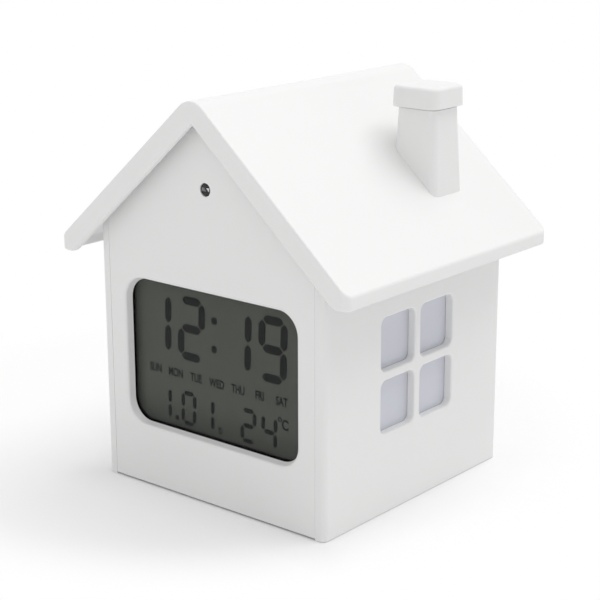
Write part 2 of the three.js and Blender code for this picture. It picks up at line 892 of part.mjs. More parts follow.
// Square key switch with its round plunger up
function tactSwitch() {
  const half = switchSize / 2;
  const body = block([-half, half], [-half, half], [0, switchBody]);
  const plunger = pinZ(switchPlungerRadius, switchBody - weld, switchBody + switchPlunger, 0, 0, 14);
  return join(body, plunger);
}

function snoozeBoard() {
  const across = [-snoozeBoardWidth / 2, snoozeBoardWidth / 2];
  const along = [-snoozeBoardDepth / 2, snoozeBoardDepth / 2];
  return block(across, along, [snoozeBoardTop - smallBoardThickness - seat, snoozeBoardTop - seat]);
}

// Rear panel

function batteryBay() {
  const outerHalf = bayHalf + bayWall;
  const tray = block(
    [-outerHalf, outerHalf],
    [bayFloor - bayWall, panelInner + weld],
    [bayBottom - bayWall, bayTop + bayWall],
  );
  const frame = block(
    [-doorHalf - doorFrame, doorHalf + doorFrame],
    [panelInner - doorFrameDepth, panelInner + weld],
    [doorBottom - doorFrame, doorTop + doorFrame],
  );
  return join(tray, frame);
}

function bayCuts() {
  const hollow = block([-bayHalf, bayHalf], [bayFloor, halfDepth + through], [bayBottom, bayTop]);
  const rebate = block(
    [-doorHalf - fit, doorHalf + fit],
    [doorInner - seat, halfDepth + through],
    [doorBottom - fit, doorTop + fit],
  );
  const socketEnd = doorHalf + hingePinLength + slip;
  const sockets = pinX(hingePinRadius + slip, -socketEnd, socketEnd, hingeY, hingeZ, 14);
  const scoop = roundedRectangle(notchWidth, 2 * notchHeight, notchRadius, 0, doorTop);
  return [hollow, rebate, sockets, runBack(scoop, halfDepth - notchDepth, halfDepth + through)];
}

// Low ribs on the bay's floor that part the cells
function cellCradles() {
  return cellHeights.slice(1).map((height) => {
    const middle = height - cellPitch / 2;
    const half = cellLength / 2 - cellRadius;
    const edges = [middle - cradleWidth / 2, middle + cradleWidth / 2];
    return block([-half, half], [bayFloor - weld, bayFloor + cradleHeight], edges);
  });
}

function soundHoles() {
  const ring = Array.from({ length: soundHoleCount }, (_, index) => {
    const angle = (2 * Math.PI * index) / soundHoleCount;
    return [soundHoleRing * Math.cos(angle), soundHoleRing * Math.sin(angle)];
  });
  return [[0, 0], ...ring].map(([x, z]) => {
    return pinY(soundHoleRadius, panelInner - through, halfDepth + through, x, sounderHeight + z, 12);
  });
}

function sounderCup() {
  const bore = sounderRadius + slip;
  const front = panelInner - sounderDepth;
  const cup = pinY(bore + cupWall, front, panelInner + weld, 0, sounderHeight, 28);
  return cut(cup, pinY(bore, front - through, panelInner, 0, sounderHeight, 28));
}

function keyPosts() {
  return keyBoardPosts.map((x) => {
    return pinY(keyPostRadius, keyBoardFace + seat, panelInner + weld, x, keyHeight - keyPostDrop, 14);
  });
}

function keyHoles() {
  const outer = halfDepth + through;
  const keys = keyXs.map((x) => pinY(keyRadius + slip, panelInner - through, outer, x, keyHeight));
  const slotWidth = knobWidth + 2 * (slideTravel + slip);
  const slot = roundedRectangle(slotWidth, knobHeight + 2 * slip, slip, slideX, keyHeight);
  const pilots = keyBoardPosts.map((x) => {
    return pinY(screwRadius + seat, keyBoardFace, panelInner, x, keyHeight - keyPostDrop, 12);
  });
  return [...keys, runBack(slot, panelInner - through, outer, 1), ...pilots];
}

function screwSeats() {
  return rearScrews.flatMap(([x, z]) => [
    pinY(screwRadius + slip, panelInner - through, halfDepth + through, x, z),
    pinY(screwHeadRadius + slip, halfDepth - counterboreDepth, halfDepth + through, x, z),
  ]);
}

function rearPanel() {
  const plate = runBack(gable(panelHalf, panelLift, roofSkin + fit), panelInner, halfDepth);
  const carved = cut(join(plate, batteryBay()), ...bayCuts());
  const whole = join(carved, ...cellCradles(), sounderCup(), ...keyPosts());
  return cut(whole, ...soundHoles(), ...keyHoles(), ...screwSeats());
}

// Flap with a round lower edge about its hinge pins, grip ribs and a finger notch
function batteryDoor() {
  const profile = new THREE.Shape();
  profile.moveTo(halfDepth, hingeZ);
  profile.lineTo(halfDepth, doorTop);
  profile.lineTo(doorInner, doorTop);
  profile.lineTo(doorInner, hingeZ);
  profile.absarc(hingeY, hingeZ, hingeRadius, Math.PI, 2 * Math.PI);
  profile.closePath();
  const leaf = runAcross(profile, -doorHalf, doorHalf, 5);
  const pinEnd = doorHalf + hingePinLength;
  const pins = pinX(hingePinRadius, -pinEnd, pinEnd, hingeY, hingeZ, 12);
  const grips = Array.from({ length: gripCount }, (_, index) => {
    const low = doorTop - notchHeight - (index + 1) * gripPitch;
    const edges = [-gripWidth / 2, gripWidth / 2];
    return block(edges, [halfDepth - weld, halfDepth + gripProud], [low, low + gripHeight]);
  });
  return join(leaf, pins, ...grips);
}

// Cell lying along X with its button towards +X (facing 1) or -X (facing -1)
function batteryCell(index) {
  const facing = cellFacing(index);
  const shoulder = cellLength - cellNubLength;
  const cell = turned([
    [0, 0],
    [cellRadius - cellChamfer, 0],
    [cellRadius, cellChamfer],
    [cellRadius, shoulder - cellChamfer],
    [cellRadius - cellChamfer, shoulder],
    [cellNubRadius, shoulder],
    [cellNubRadius, cellLength],
    [0, cellLength],
  ], 18);
  cell.rotateY((facing * Math.PI) / 2);
  const start = bayHalf - contactThickness - 2 * seat - cellLength;
  return cell.translate(facing * start, cellY, cellHeights[index]);
}

function cellFacing(index) {
  return index % 2 === 0 ? 1 : -1;
}

// Sheet contact at one end of the bay, for the cells from first to last, with a cone spring
// under each cell that turns its flat end to it
function contact(name, side, first, last) {
  const outer = bayHalf - seat;
  const face = outer - contactThickness;
  const low = cellHeights[first] - contactWidth / 2;
  const high = cellHeights[last] + contactWidth / 2;
  const depths = [cellY - contactWidth / 2, cellY + contactWidth / 2];
  let whole = solid(block(span(side, face, outer), depths, [low, high]));
  for (let index = first; index <= last; index += 1) {
    if (cellFacing(index) === side) continue;
    const coil = new Coil(contactSpringRadius, contactSpringTip, baySpringRoom - contactWire, contactTurns);
    const spring = wound(name, coil, contactWire).rotateY((-side * Math.PI) / 2);
    whole = whole.add(solid(spring.translate(side * face, cellY, cellHeights[index])));
  }
  return whole;
}

// Key with a domed face, a flange behind the panel and a tail on its switch
function setButton() {
  const flangeTop = keyFlangeThickness + keyTailLength;
  const face = flangeTop + seat + panelThickness + keyProud;
  return turned([
    [0, 0],
    [keyTailRadius, 0],
    [keyTailRadius, keyTailLength],
    [keyFlangeRadius, keyTailLength],
    [keyFlangeRadius, flangeTop],
    [keyRadius, flangeTop],
    ...dome(keyRadius, face - keyCrown, keyCrown, 3),
  ], 18);
}

function keyBoard() {
  const heights = [keyHeight - keyBoardHeight / 2, keyHeight + keyBoardHeight / 2];
  const board = block(
    [-keyBoardWidth / 2, keyBoardWidth / 2],
    [keyBoardFace - smallBoardThickness, keyBoardFace],
    heights,
  );
  const holes = keyBoardPosts.map((x) => {
    const front = keyBoardFace - smallBoardThickness - through;
    return pinY(screwRadius + slip, front, keyBoardFace + through, x, keyHeight - keyPostDrop);
  });
  return cut(board, ...holes);
}

function lightSwitchBody() {
  const across = [slideX - slideBodyWidth / 2, slideX + slideBodyWidth / 2];
  const heights = [keyHeight - slideBodyHeight / 2, keyHeight + slideBodyHeight / 2];
  return block(across, [keyBoardFace + seat, keyBoardFace + seat + slideBodyDepth], heights);
}

// Slider with three finger ridges on its face
function lightSwitchKnob() {
  const inner = keyBoardFace + seat + slideBodyDepth + seat;
  const face = halfDepth + knobProud;
  const heights = [keyHeight - knobHeight / 2, keyHeight + knobHeight / 2];
  const half = knobWidth / 2;
  const ridge = knobWidth / 5;
  const stem = block([-half, half], [inner, face], heights);
  const valleyHeights = [heights[0] - through, heights[1] + through];
  const valleys = [-ridge, ridge].map((x) => {
    return block([x - ridge / 2, x + ridge / 2], [face - knobProud / 2, face + through], valleyHeights);
  });
  return cut(stem, ...valleys);
}

function sounder() {
  const height = sounderDepth - seat;
  return turned([
    [0, 0],
    [sounderRadius, 0],
    [sounderRadius, height],
    [sounderPort, height],
    [sounderPort, height / 2],
    [0, height / 2],
  ], 28);
}

// Pan-head screw along Z, its head up from 0 and its shank down
function screw(length) {
  return turned([
    [0, -length],
    [screwRadius, -length + screwPoint],
    [screwRadius, 0],
    ...dome(screwHeadRadius, 0, screwHeadHeight, 2),
  ], 10);
}

// Materials
const finish = (color, roughness, metalness = 0) => {
  return new THREE.MeshStandardMaterial({ color, roughness, metalness });
};
const whitePlastic = () => finish(0xf1f1ef, 0.45);
const milkyPlastic = () => finish(0xe9e9f0, 0.5);
const greyPlastic = () => finish(0x8f9293, 0.55);
const blackPlastic = () => finish(0x1d1e1f, 0.5);
const boardGreen = () => finish(0x1f6b3a, 0.6);
const steel = () => finish(0xb9bcc0, 0.3, 1);
const display = () => finish(0x4a4c46, 0.25);
const clear = () => finish(0xdfe3e3, 0.05);
const cellWrap = () => finish(0x5c6166, 0.35);
const resin = () => finish(0x141414, 0.4);
const elastomer = () => finish(0xc7a6a0, 0.8);
const lampBody = () => finish(0xf3efd8, 0.4);

// Assembly
const clock = new THREE.Group();

function add(parent, name, shape, material) {
  const mesh = new THREE.Mesh(geometryOf(solid(shape)), material);
  mesh.name = name;
  parent.add(mesh);
  return mesh;
}

add(clock, "house_shell", houseShell(), whitePlastic());
add(clock, "front_panel", frontPanel(), whitePlastic());
add(clock, "rear_panel", rearPanel(), whitePlastic());
add(clock, "roof", roof(), whitePlastic());

const glassWidth = 2 * glassHalf;
const displayWindowRear = displayWindowFront + displayWindowThickness;
const backlightRear = backlightFront + backlightThickness;
const displayWindow = displayPlate(glassWidth, glassBottom, glassTop, displayWindowFront, displayWindowRear);
const lcdGlass = displayPlate(glassWidth, glassBottom, glassTop, glassFront, glassRear);
const lcdBacklight = displayPlate(glassWidth, displayBottom, glassTop, backlightFront, backlightRear);
add(clock, "display_window", displayWindow, clear());
add(clock, "lcd_glass", lcdGlass, display());
add(clock, "lcd_backlight", lcdBacklight, milkyPlastic());
add(clock, "lcd_holder", lcdHolder(), greyPlastic());
add(clock, "zebra_connector", zebraConnector(), elastomer());
add(clock, "main_board", mainBoard(), boardGreen());
add(clock, "controller_chip", controllerChip(), resin());
add(clock, "clock_crystal", clockCrystal(), steel());
add(clock, "temperature_probe", temperatureProbe(), resin());
add(clock, "light_sensor", lightSensor(), clear());

[["left", -1], ["right", 1]].forEach(([word, side]) => {
  add(clock, `window_diffuser_${word}`, diffuser(side), milkyPlastic());
  add(clock, `night_light_board_${word}`, lampBoard(side), boardGreen());
  add(clock, `night_light_led_${word}`, lamp(side), lampBody());
});

const chimney = new THREE.Group();
chimney.position.set(chimneyX, chimneyY, 0);
clock.add(chimney);
add(chimney, "chimney_stack", chimneyStack(), whitePlastic());
add(chimney, "chimney_cap", chimneyCap(), whitePlastic());
add(chimney, "chimney_spring", chimneySpring(), steel());
add(chimney, "retaining_clip", retainingClip(), steel());
add(chimney, "snooze_board", snoozeBoard(), boardGreen());
add(chimney, "snooze_switch", tactSwitch(), blackPlastic()).position.z = snoozeBoardTop;

cellHeights.forEach((_, index) => {
  add(clock, `battery_cell_${index + 1}`, batteryCell(index), cellWrap());
});
add(clock, "contact_positive", contact("contact_positive", 1, 0, 0), steel());
add(clock, "contact_link_left", contact("contact_link_left", -1, 0, 1), steel());
add(clock, "contact_link_right", contact("contact_link_right", 1, 1, 2), steel());
add(clock, "contact_negative", contact("contact_negative", -1, 2, 2), steel());
add(clock, "battery_door", batteryDoor(), whitePlastic());

keyXs.forEach((x, index) => {
  const button = add(clock, `set_button_${index + 1}`, setButton(), whitePlastic());
  button.rotation.x = -Math.PI / 2;
  button.position.set(x, keyTailEnd, keyHeight);
  const key = add(clock, `key_switch_${index + 1}`, tactSwitch(), blackPlastic());
  key.rotation.x = -Math.PI / 2;
  key.position.set(x, keyBoardFace + seat, keyHeight);
});
add(clock, "key_board", keyBoard(), boardGreen());
add(clock, "light_switch_body", lightSwitchBody(), blackPlastic());
add(clock, "light_switch_knob", lightSwitchKnob(), blackPlastic()).position.x = slideX;

const sounderCan = add(clock, "sounder", sounder(), blackPlastic());
sounderCan.rotation.x = -Math.PI / 2;
sounderCan.position.set(0, panelInner - sounderDepth, sounderHeight);

// Turn about X that points a screw's head to the rear, the front or the floor
const screwTurns = { rear: -Math.PI / 2, front: Math.PI / 2, floor: Math.PI };

function addScrews(word, places, length, headTowards) {
  places.forEach((place, index) => {
    const fastener = add(clock, `${word}_${index + 1}`, screw(length), steel());
    fastener.rotation.x = screwTurns[headTowards];
    fastener.position.set(...place);
  });
}

const rearHead = halfDepth - counterboreDepth + seat;
const boardHead = boardRear + seat;
const keyBoardHead = keyBoardFace - smallBoardThickness - seat;
const keyPostPlaces = keyBoardPosts.map((x) => [x, keyBoardHead, keyHeight - keyPostDrop]);
addScrews("rear_screw", rearScrews.map(([x, z]) => [x, rearHead, z]), rearBossLength, "rear");
const roofScrewPlaces = roofScrews.map(([x, y]) => [x, y, tabHeight - seat]);
addScrews("roof_screw", roofScrewPlaces, tabThickness + screwGrip, "floor");
addScrews("board_screw", boardBosses.map(([x, z]) => [x, boardHead, z]), boardThickness + screwGrip, "rear");
addScrews("key_board_screw", keyPostPlaces, screwGrip, "front");

export default clock;
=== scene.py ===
# %% [markdown]
# # A house-shaped desk clock
# The clock is a small white house: two side walls with a floor, a gabled panel at the front and at
# the back, a thick roof, and a chimney whose cap is the snooze key. This lesson dresses the packed
# model piece by piece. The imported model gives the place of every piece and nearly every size; a few
# fine ones, such as roundings, follow close views of the photograph. Sizes below are written in
# millimetres and turned into metres once.

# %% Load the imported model
import math

import bmesh
import bpy
from mathutils import Matrix, Vector


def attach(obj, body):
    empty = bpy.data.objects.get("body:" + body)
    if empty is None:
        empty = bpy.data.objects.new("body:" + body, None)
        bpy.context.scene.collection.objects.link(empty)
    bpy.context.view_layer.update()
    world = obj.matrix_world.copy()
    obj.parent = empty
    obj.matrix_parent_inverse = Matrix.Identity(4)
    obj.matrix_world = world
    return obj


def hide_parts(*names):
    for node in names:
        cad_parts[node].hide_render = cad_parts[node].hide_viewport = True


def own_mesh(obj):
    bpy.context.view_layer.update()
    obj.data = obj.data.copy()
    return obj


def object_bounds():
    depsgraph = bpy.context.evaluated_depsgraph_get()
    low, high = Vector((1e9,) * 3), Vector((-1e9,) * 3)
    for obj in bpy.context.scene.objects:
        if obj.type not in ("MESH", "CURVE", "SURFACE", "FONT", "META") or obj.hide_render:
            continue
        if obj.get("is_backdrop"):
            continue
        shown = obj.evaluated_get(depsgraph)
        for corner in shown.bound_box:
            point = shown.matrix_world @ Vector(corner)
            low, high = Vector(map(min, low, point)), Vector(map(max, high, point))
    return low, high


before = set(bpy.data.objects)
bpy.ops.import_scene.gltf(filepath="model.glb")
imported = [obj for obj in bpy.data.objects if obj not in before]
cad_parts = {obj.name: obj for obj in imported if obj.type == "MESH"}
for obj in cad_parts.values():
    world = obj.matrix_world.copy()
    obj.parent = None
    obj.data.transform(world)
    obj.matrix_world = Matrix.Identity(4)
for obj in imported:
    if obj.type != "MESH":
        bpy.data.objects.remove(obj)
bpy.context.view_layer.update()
MM = 0.001
X, Y, Z = 0, 1, 2


def mm(*values):
    """Millimetres as a vector in metres."""
    return Vector(values) * MM


# %% [markdown]
# ## The camera
# A product photograph of a small thing is taken with a long lens from about half a metre, so that
# upright edges stay nearly upright. The turn, rise and distance here were worked out from the
# straight edges of the house: a lens of 97.5 mm, 46 cm away, turned 40 degrees to the right of the
# display and raised 16 degrees. A lens this long could also be faked by a scaled view, but a true
# one keeps the other views right too.

# %% Place the camera
LENS = 97.5
SENSOR_WIDTH = 36
LOOK_AT = mm(-0.797, -0.776, 49.708)
CAMERA_TURN = math.radians(39.905)
CAMERA_RISE = math.radians(15.945)
CAMERA_ROLL = math.radians(-0.212)
CAMERA_DISTANCE = 461.38 * MM

camera_data = bpy.data.cameras.new("camera")
camera_data.lens = LENS
camera_data.sensor_width = SENSOR_WIDTH
camera_data.clip_start = 10 * MM
camera = bpy.data.objects.new("camera", camera_data)
bpy.context.scene.collection.objects.link(camera)
aim = Matrix.Rotation(CAMERA_TURN, 4, "Z")
aim = aim @ Matrix.Rotation(math.pi / 2 - CAMERA_RISE, 4, "X")
aim = aim @ Matrix.Rotation(CAMERA_ROLL, 4, "Z")
camera.matrix_world = Matrix.Translation(LOOK_AT) @ aim @ Matrix.Translation((0, 0, CAMERA_DISTANCE))
bpy.context.scene.camera = camera
print("camera at", [round(value / MM) for value in camera.matrix_world.translation], "mm")

# %% [markdown]
# ## Light and floor
# The house stands on a white table under a big soft light that comes from above, from behind and a
# little from the right, so the roof is the brightest face, the side wall is a shade lighter than
# the front, and a soft shadow lies to the front left. A weaker light from above the front fills that
# shadow. A sun lamp with a wide angle does the same as a large soft box and gives the table the same
# light all over. For the camera, and for glass and gloss, the table is lightened as in a catalogue
# picture: not at all under the house, so that the line on which it stands stays dark, partly around
# it, so that some of the shadow stays, and to plain white further off.

# %% Nodes are added and linked by a few helpers
def feed(tree, node, values):
    """Give inputs of a node a value of their own, or the output of another node."""
    for name, value in values.items():
        if isinstance(value, bpy.types.NodeSocket):
            tree.links.new(value, node.inputs[name])
        else:
            node.inputs[name].default_value = value


def add(tree, kind, values=None, **settings):
    """Add a node, set its own settings, then feed its inputs."""
    made = tree.nodes.new(kind)
    for name, value in settings.items():
        setattr(made, name, value)
    feed(tree, made, values or {})
    return made


def reckon(tree, operation, *inputs):
    """One step of arithmetic on sockets and numbers, as a socket."""
    return add(tree, "ShaderNodeMath", dict(enumerate(inputs)), operation=operation).outputs[0]


def ramp(tree, value, low, high, start, curve="SMOOTHSTEP"):
    """From start at low to 1 at high, as a socket."""
    values = {"Value": value, "From Min": low, "From Max": high, "To Min": start}
    return add(tree, "ShaderNodeMapRange", values, interpolation_type=curve).outputs[0]


def seen_straight(tree):
    """1 for rays from the camera and for those seen in gloss or through glass, otherwise 0."""
    path = add(tree, "ShaderNodeLightPath").outputs
    either = reckon(tree, "MAXIMUM", path["Is Camera Ray"], path["Is Glossy Ray"])
    return reckon(tree, "MAXIMUM", either, path["Is Transmission Ray"])


print("node helpers: feed, add, reckon, ramp, seen_straight")

# %% World and lamps
PURE_WHITE = (1, 1, 1, 1)
ROOM_LIGHT = 0.59
KEY_LIGHT = 1.25
KEY_FROM = (0.19, 0.35, 0.92)
KEY_SPREAD = math.radians(45)
FILL_LIGHT = 0.32
FILL_FROM = (0.05, -0.42, 0.9)
FILL_SPREAD = math.radians(60)

scene = bpy.context.scene
scene.view_settings.view_transform = "Standard"
world = bpy.data.worlds.new("studio")
scene.world = world
world.use_nodes = True
room = world.node_tree
room.nodes.clear()
dim = add(room, "ShaderNodeBackground", {"Color": PURE_WHITE, "Strength": ROOM_LIGHT})
white = add(room, "ShaderNodeBackground", {"Color": PURE_WHITE, "Strength": 1})
choose = add(room, "ShaderNodeMixShader", {0: seen_straight(room), 1: dim.outputs[0], 2: white.outputs[0]})
add(room, "ShaderNodeOutputWorld", {"Surface": choose.outputs[0]})


def soft_lamp(name, strength, direction, spread):
    """A sun lamp that shines from a direction; the wider its spread, the softer its shadows."""
    lamp_data = bpy.data.lights.new(name, "SUN")
    lamp_data.energy = strength
    lamp_data.angle = spread
    lamp = bpy.data.objects.new(name, lamp_data)
    scene.collection.objects.link(lamp)
    lamp.rotation_euler = Vector(direction).to_track_quat("Z", "Y").to_euler()


soft_lamp("key_light", KEY_LIGHT, KEY_FROM, KEY_SPREAD)
soft_lamp("fill_light", FILL_LIGHT, FILL_FROM, FILL_SPREAD)
print("room light", ROOM_LIGHT, "with a key light of", KEY_LIGHT, "and a fill light of", FILL_LIGHT)

# %% The table
FLOOR_SIZE = 8
bpy.ops.object.select_all(action="DESELECT")
bpy.ops.mesh.primitive_plane_add(size=FLOOR_SIZE, location=(0, 0, 0))
table = bpy.context.object
table.name = "table"
paint = bpy.data.materials.new("table_white")
paint.use_nodes = True
paint.node_tree.nodes.clear()
table.data.materials.append(paint)
table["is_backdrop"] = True
print("table", FLOOR_SIZE, "m wide")

# %% Its paint, with the places in metres
FLOOR_WHITE = 0.93
SHADOW_CENTRE = (-0.045, 0.01, 0)
SHADOW_REACH = (0.09, 0.122)
SHADOW_LIFT = 0.36
FOOTPRINT = (0.04, 0.055)
CONTACT_CURVE = 0.4

tree = paint.node_tree
place = add(tree, "ShaderNodeTexCoord").outputs["Object"]
away = add(tree, "ShaderNodeVectorMath", {0: place, 1: SHADOW_CENTRE}, operation="DISTANCE")
fade = ramp(tree, away.outputs["Value"], *SHADOW_REACH, SHADOW_LIFT)
mirrored = add(tree, "ShaderNodeVectorMath", {0: place}, operation="ABSOLUTE")
sides = add(tree, "ShaderNodeSeparateXYZ", {0: mirrored.outputs["Vector"]}).outputs
outward = reckon(tree, "MAXIMUM", sides["X"], sides["Y"])
contact = reckon(tree, "POWER", ramp(tree, outward, *FOOTPRINT, 0, "LINEAR"), CONTACT_CURVE)
lift = reckon(tree, "MULTIPLY", reckon(tree, "MULTIPLY", fade, contact), seen_straight(tree))
matt = add(tree, "ShaderNodeBsdfDiffuse", {"Color": (FLOOR_WHITE, FLOOR_WHITE, FLOOR_WHITE, 1)})
plain = add(tree, "ShaderNodeEmission", {"Color": PURE_WHITE, "Strength": 1})
mixed = add(tree, "ShaderNodeMixShader", {0: lift, 1: matt.outputs[0], 2: plain.outputs[0]})
add(tree, "ShaderNodeOutputMaterial", {"Surface": mixed.outputs[0]})
print("paint of the table:", len(tree.nodes), "nodes")

# %% [markdown]
# ## Finishes
# Nearly all of the house is one white plastic, moulded in a tool whose walls were spark eroded, so
# its skin has a very fine grain and is neither matt nor glossy. That skin is a node group: it takes
# a colour and puts out a colour with faint clouds, a roughness that varies with them, and the
# height of the grain. The keys, the black switch, the rubber and the resin use the same group with
# their own values. A picture of a grain would also do, but noise on Object coordinates has no seams.

# %% The grain of a moulded skin
CLOUD_SCALE = 45
CLOUD_GLOSS = 0.16
GRAIN_GLOSS = 0.08
NOISE_MEAN = 0.5
SKIN_SOCKETS = {
    "INPUT": (("Colour", "Color"), ("Shade", "Float"), ("Gloss", "Float"), ("Grain", "Float")),
    "OUTPUT": (("Colour", "Color"), ("Roughness", "Float"), ("Height", "Float")),
}
skin = bpy.data.node_groups.new("moulded_skin", "ShaderNodeTree")
for way, sockets in SKIN_SOCKETS.items():
    for name, kind in sockets:
        skin.interface.new_socket(name=name, in_out=way, socket_type="NodeSocket" + kind)


def swing(noise, amount):
    """How far a noise lies from its mean, times an amount, as a socket."""
    return reckon(skin, "MULTIPLY", reckon(skin, "SUBTRACT", noise, NOISE_MEAN), amount)


given = add(skin, "NodeGroupInput").outputs
spot = add(skin, "ShaderNodeTexCoord").outputs["Object"]
grain_inputs = {"Vector": spot, "Scale": given["Grain"], "Detail": 2, "Roughness": 0.6}
fine = add(skin, "ShaderNodeTexNoise", grain_inputs).outputs[0]
cloud = add(skin, "ShaderNodeTexNoise", {"Vector": spot, "Scale": CLOUD_SCALE, "Detail": 3}).outputs[0]
shade = reckon(skin, "ADD", swing(cloud, given["Shade"]), 1)
tint = add(skin, "ShaderNodeVectorMath", {0: given["Colour"], "Scale": shade}, operation="SCALE")
rough = reckon(skin, "ADD", given["Gloss"], swing(cloud, CLOUD_GLOSS))
rough = reckon(skin, "ADD", rough, swing(fine, GRAIN_GLOSS))
add(skin, "NodeGroupOutput", {"Colour": tint.outputs[0], "Roughness": rough, "Height": fine})
print("node group", skin.name, "with", len(skin.nodes), "nodes")

# %% A finish from the skin
GRAIN_HEIGHT = 0.2 * MM
SHADER = "Principled BSDF"


def skinned(name, colour, shade, gloss, grain):
    """A new finish with the skin group in it: the finish, its node tree and the group's outputs."""
    finish = bpy.data.materials.new(name)
    finish.use_nodes = True
    values = {"Colour": (*colour, 1), "Shade": shade, "Gloss": gloss, "Grain": grain}
    group = add(finish.node_tree, "ShaderNodeGroup", values, node_tree=skin)
    return finish, finish.node_tree, group.outputs


def moulded(name, colour, gloss, grain=2600, relief=0.06, shade=0.03, metallic=0, level=0.5):
    """A finish with the moulded skin: colour, roughness, grains per metre and relief of the grain."""
    finish, tree, group = skinned(name, colour, shade, gloss, grain)
    height = {"Height": group["Height"], "Strength": relief, "Distance": GRAIN_HEIGHT}
    feed(tree, tree.nodes[SHADER], {
        "Base Color": group["Colour"], "Roughness": group["Roughness"],
        "Normal": add(tree, "ShaderNodeBump", height).outputs["Normal"],
        "Metallic": metallic, "Specular IOR Level": level,
    })
    return finish


print("finish makers: skinned, moulded")

# %% The moulded finishes
white_case = moulded("white_case", (0.87, 0.87, 0.865), 0.48)
white_key = moulded("white_key", (0.86, 0.86, 0.855), 0.44, grain=3000)
black_switch = moulded("black_switch", (0.022, 0.022, 0.024), 0.42, shade=0.2)
milky_pane = moulded("milky_pane", (0.65, 0.66, 0.725), 0.35, grain=900, relief=0.03, shade=0.05)
grey_holder = moulded("grey_holder", (0.28, 0.29, 0.29), 0.5, shade=0.06)
light_guide = moulded("light_guide", (0.82, 0.84, 0.85), 0.3, grain=700)
pink_rubber = moulded("pink_rubber", (0.55, 0.38, 0.35), 0.6, grain=1500, relief=0.2, shade=0.2)
black_resin = moulded("black_resin", (0.012, 0.012, 0.013), 0.25, grain=600, relief=0.1, shade=0.3)
lamp_phosphor = moulded("lamp_phosphor", (0.85, 0.8, 0.55), 0.4, grain=1200, relief=0.1, shade=0.15)
bright_steel = moulded("bright_steel", (0.62, 0.63, 0.65), 0.3, grain=1800, shade=0.12, metallic=1)
tinned_brass = moulded("tinned_brass", (0.66, 0.64, 0.58), 0.32, grain=1500, shade=0.15, metallic=1)
display_black = moulded("display_black", (0.004, 0.004, 0.004), 0.6, shade=0.3, level=0.1)
display_ink = moulded("display_ink", (0.012, 0.013, 0.012), 0.6, grain=900, shade=0.3, level=0.1)
sensor_black = moulded("sensor_black", (0.008, 0.008, 0.009), 0.5, shade=0.3, level=0.15)
dull_metal = moulded("dull_metal", (0.2, 0.2, 0.19), 0.45, shade=0.2)
# near white and not metal: a painted glint on the foot that carries the chip
glint_painted_chip = moulded("glint_painted_chip", (0.9, 0.9, 0.88), 0.4, shade=0.05)
print("finishes with this skin:", skin.users)

# %% [markdown]
# Clear pieces need a shader that lets light through: the display window and the lens of the light
# sensor. Their gloss is kept low, because the photograph shows hardly any reflection in the
# display, and a clear sheet in front of a white room would otherwise turn the display grey.

# %% Clear finishes
def clear(name, colour, roughness, bend):
    """A clear finish: light passes through, and the less it bends the less of it is mirrored."""
    finish, tree, group = skinned(name, colour, 0.01, roughness, 300)
    feed(tree, tree.nodes[SHADER], {
        "Base Color": group["Colour"], "Roughness": roughness, "Transmission Weight": 1, "IOR": bend,
    })
    return finish


clear_window = clear("clear_window", (0.97, 0.98, 0.98), 0.02, 1.11)
clear_lens = clear("clear_lens", (0.95, 0.96, 0.98), 0.03, 1.22)
print("clear finishes:", clear_window.name, clear_lens.name)

# %% [markdown]
# The display is a reflective grey-green panel. Its colour is darkened towards its left and lower
# edges, as painted shade where the frame keeps light off it, and it has the very fine mottling of
# its rear film. A lamp behind it could make the tone too, but the photograph shows it unlit.

# %% The display's tone
DISPLAY_TONE = (0.085, 0.0885, 0.077)
# where the display's colour is darkened into painted shade: from, to, and the darkest share
LEFT_SHADE = (-31 * MM, -26 * MM, 0.55)
LOWER_SHADE = (17 * MM, 29 * MM, 0.6)


def opened(finish):
    """A finish's node tree, the colour that reaches its shader, and its Object coordinates."""
    tree = finish.node_tree
    colour = tree.nodes[SHADER].inputs["Base Color"].links[0].from_socket
    return tree, colour, add(tree, "ShaderNodeTexCoord").outputs["Object"]


display_grey = moulded("display_grey", DISPLAY_TONE, 0.55, grain=5200, relief=0.02, shade=0.08, level=0.1)
tree, tone, spot = opened(display_grey)
parts = add(tree, "ShaderNodeSeparateXYZ", {0: spot}).outputs
# painted shade: the colour is darkened towards the left and lower edges, where the frame keeps light off
# it
left, lower = ramp(tree, parts["X"], *LEFT_SHADE), ramp(tree, parts["Z"], *LOWER_SHADE)
values = {0: tone, "Scale": reckon(tree, "MULTIPLY", left, lower)}
tone_with_painted_shade = add(tree, "ShaderNodeVectorMath", values, operation="SCALE")
feed(tree, tree.nodes[SHADER], {"Base Color": tone_with_painted_shade.outputs[0]})
print("display tone", DISPLAY_TONE)

# %% [markdown]
# Two more finishes are for what lies inside: the green laminate of the circuit boards, with lines
# of copper under the lacquer, and the sleeve of a battery cell, plain slate grey with a pale band at
# the button end and no label. Both could be pictures, but a brick texture and one comparison along
# an axis draw them without a file.

# %% Boards and cells
BOARD_GREEN = (0.02, 0.15, 0.05)
COPPER_GREEN = (0.06, 0.3, 0.1)
SLEEVE_GREY = (0.16, 0.19, 0.22)
SLEEVE_PALE = (0.72, 0.74, 0.74)
BAND_PLACE = 17.5 * MM
BAND_HALF = 4 * MM


def overlay(tree, under, over, mask):
    """Give a finish's shader another colour where a mask says so."""
    values = {"Factor": mask, "A": under, "B": (*over, 1)}
    mix = add(tree, "ShaderNodeMix", values, data_type="RGBA")
    feed(tree, tree.nodes[SHADER], {"Base Color": mix.outputs["Result"]})


def sleeve(name, place):
    """The sleeve of a cell, with its band around a place along X."""
    finish = moulded(name, SLEEVE_GREY, 0.3, grain=900, shade=0.08, metallic=0.3)
    tree, grey, spot = opened(finish)
    along = add(tree, "ShaderNodeSeparateXYZ", {0: spot}).outputs["X"]
    overlay(tree, grey, SLEEVE_PALE, reckon(tree, "COMPARE", along, place, BAND_HALF))
    return finish


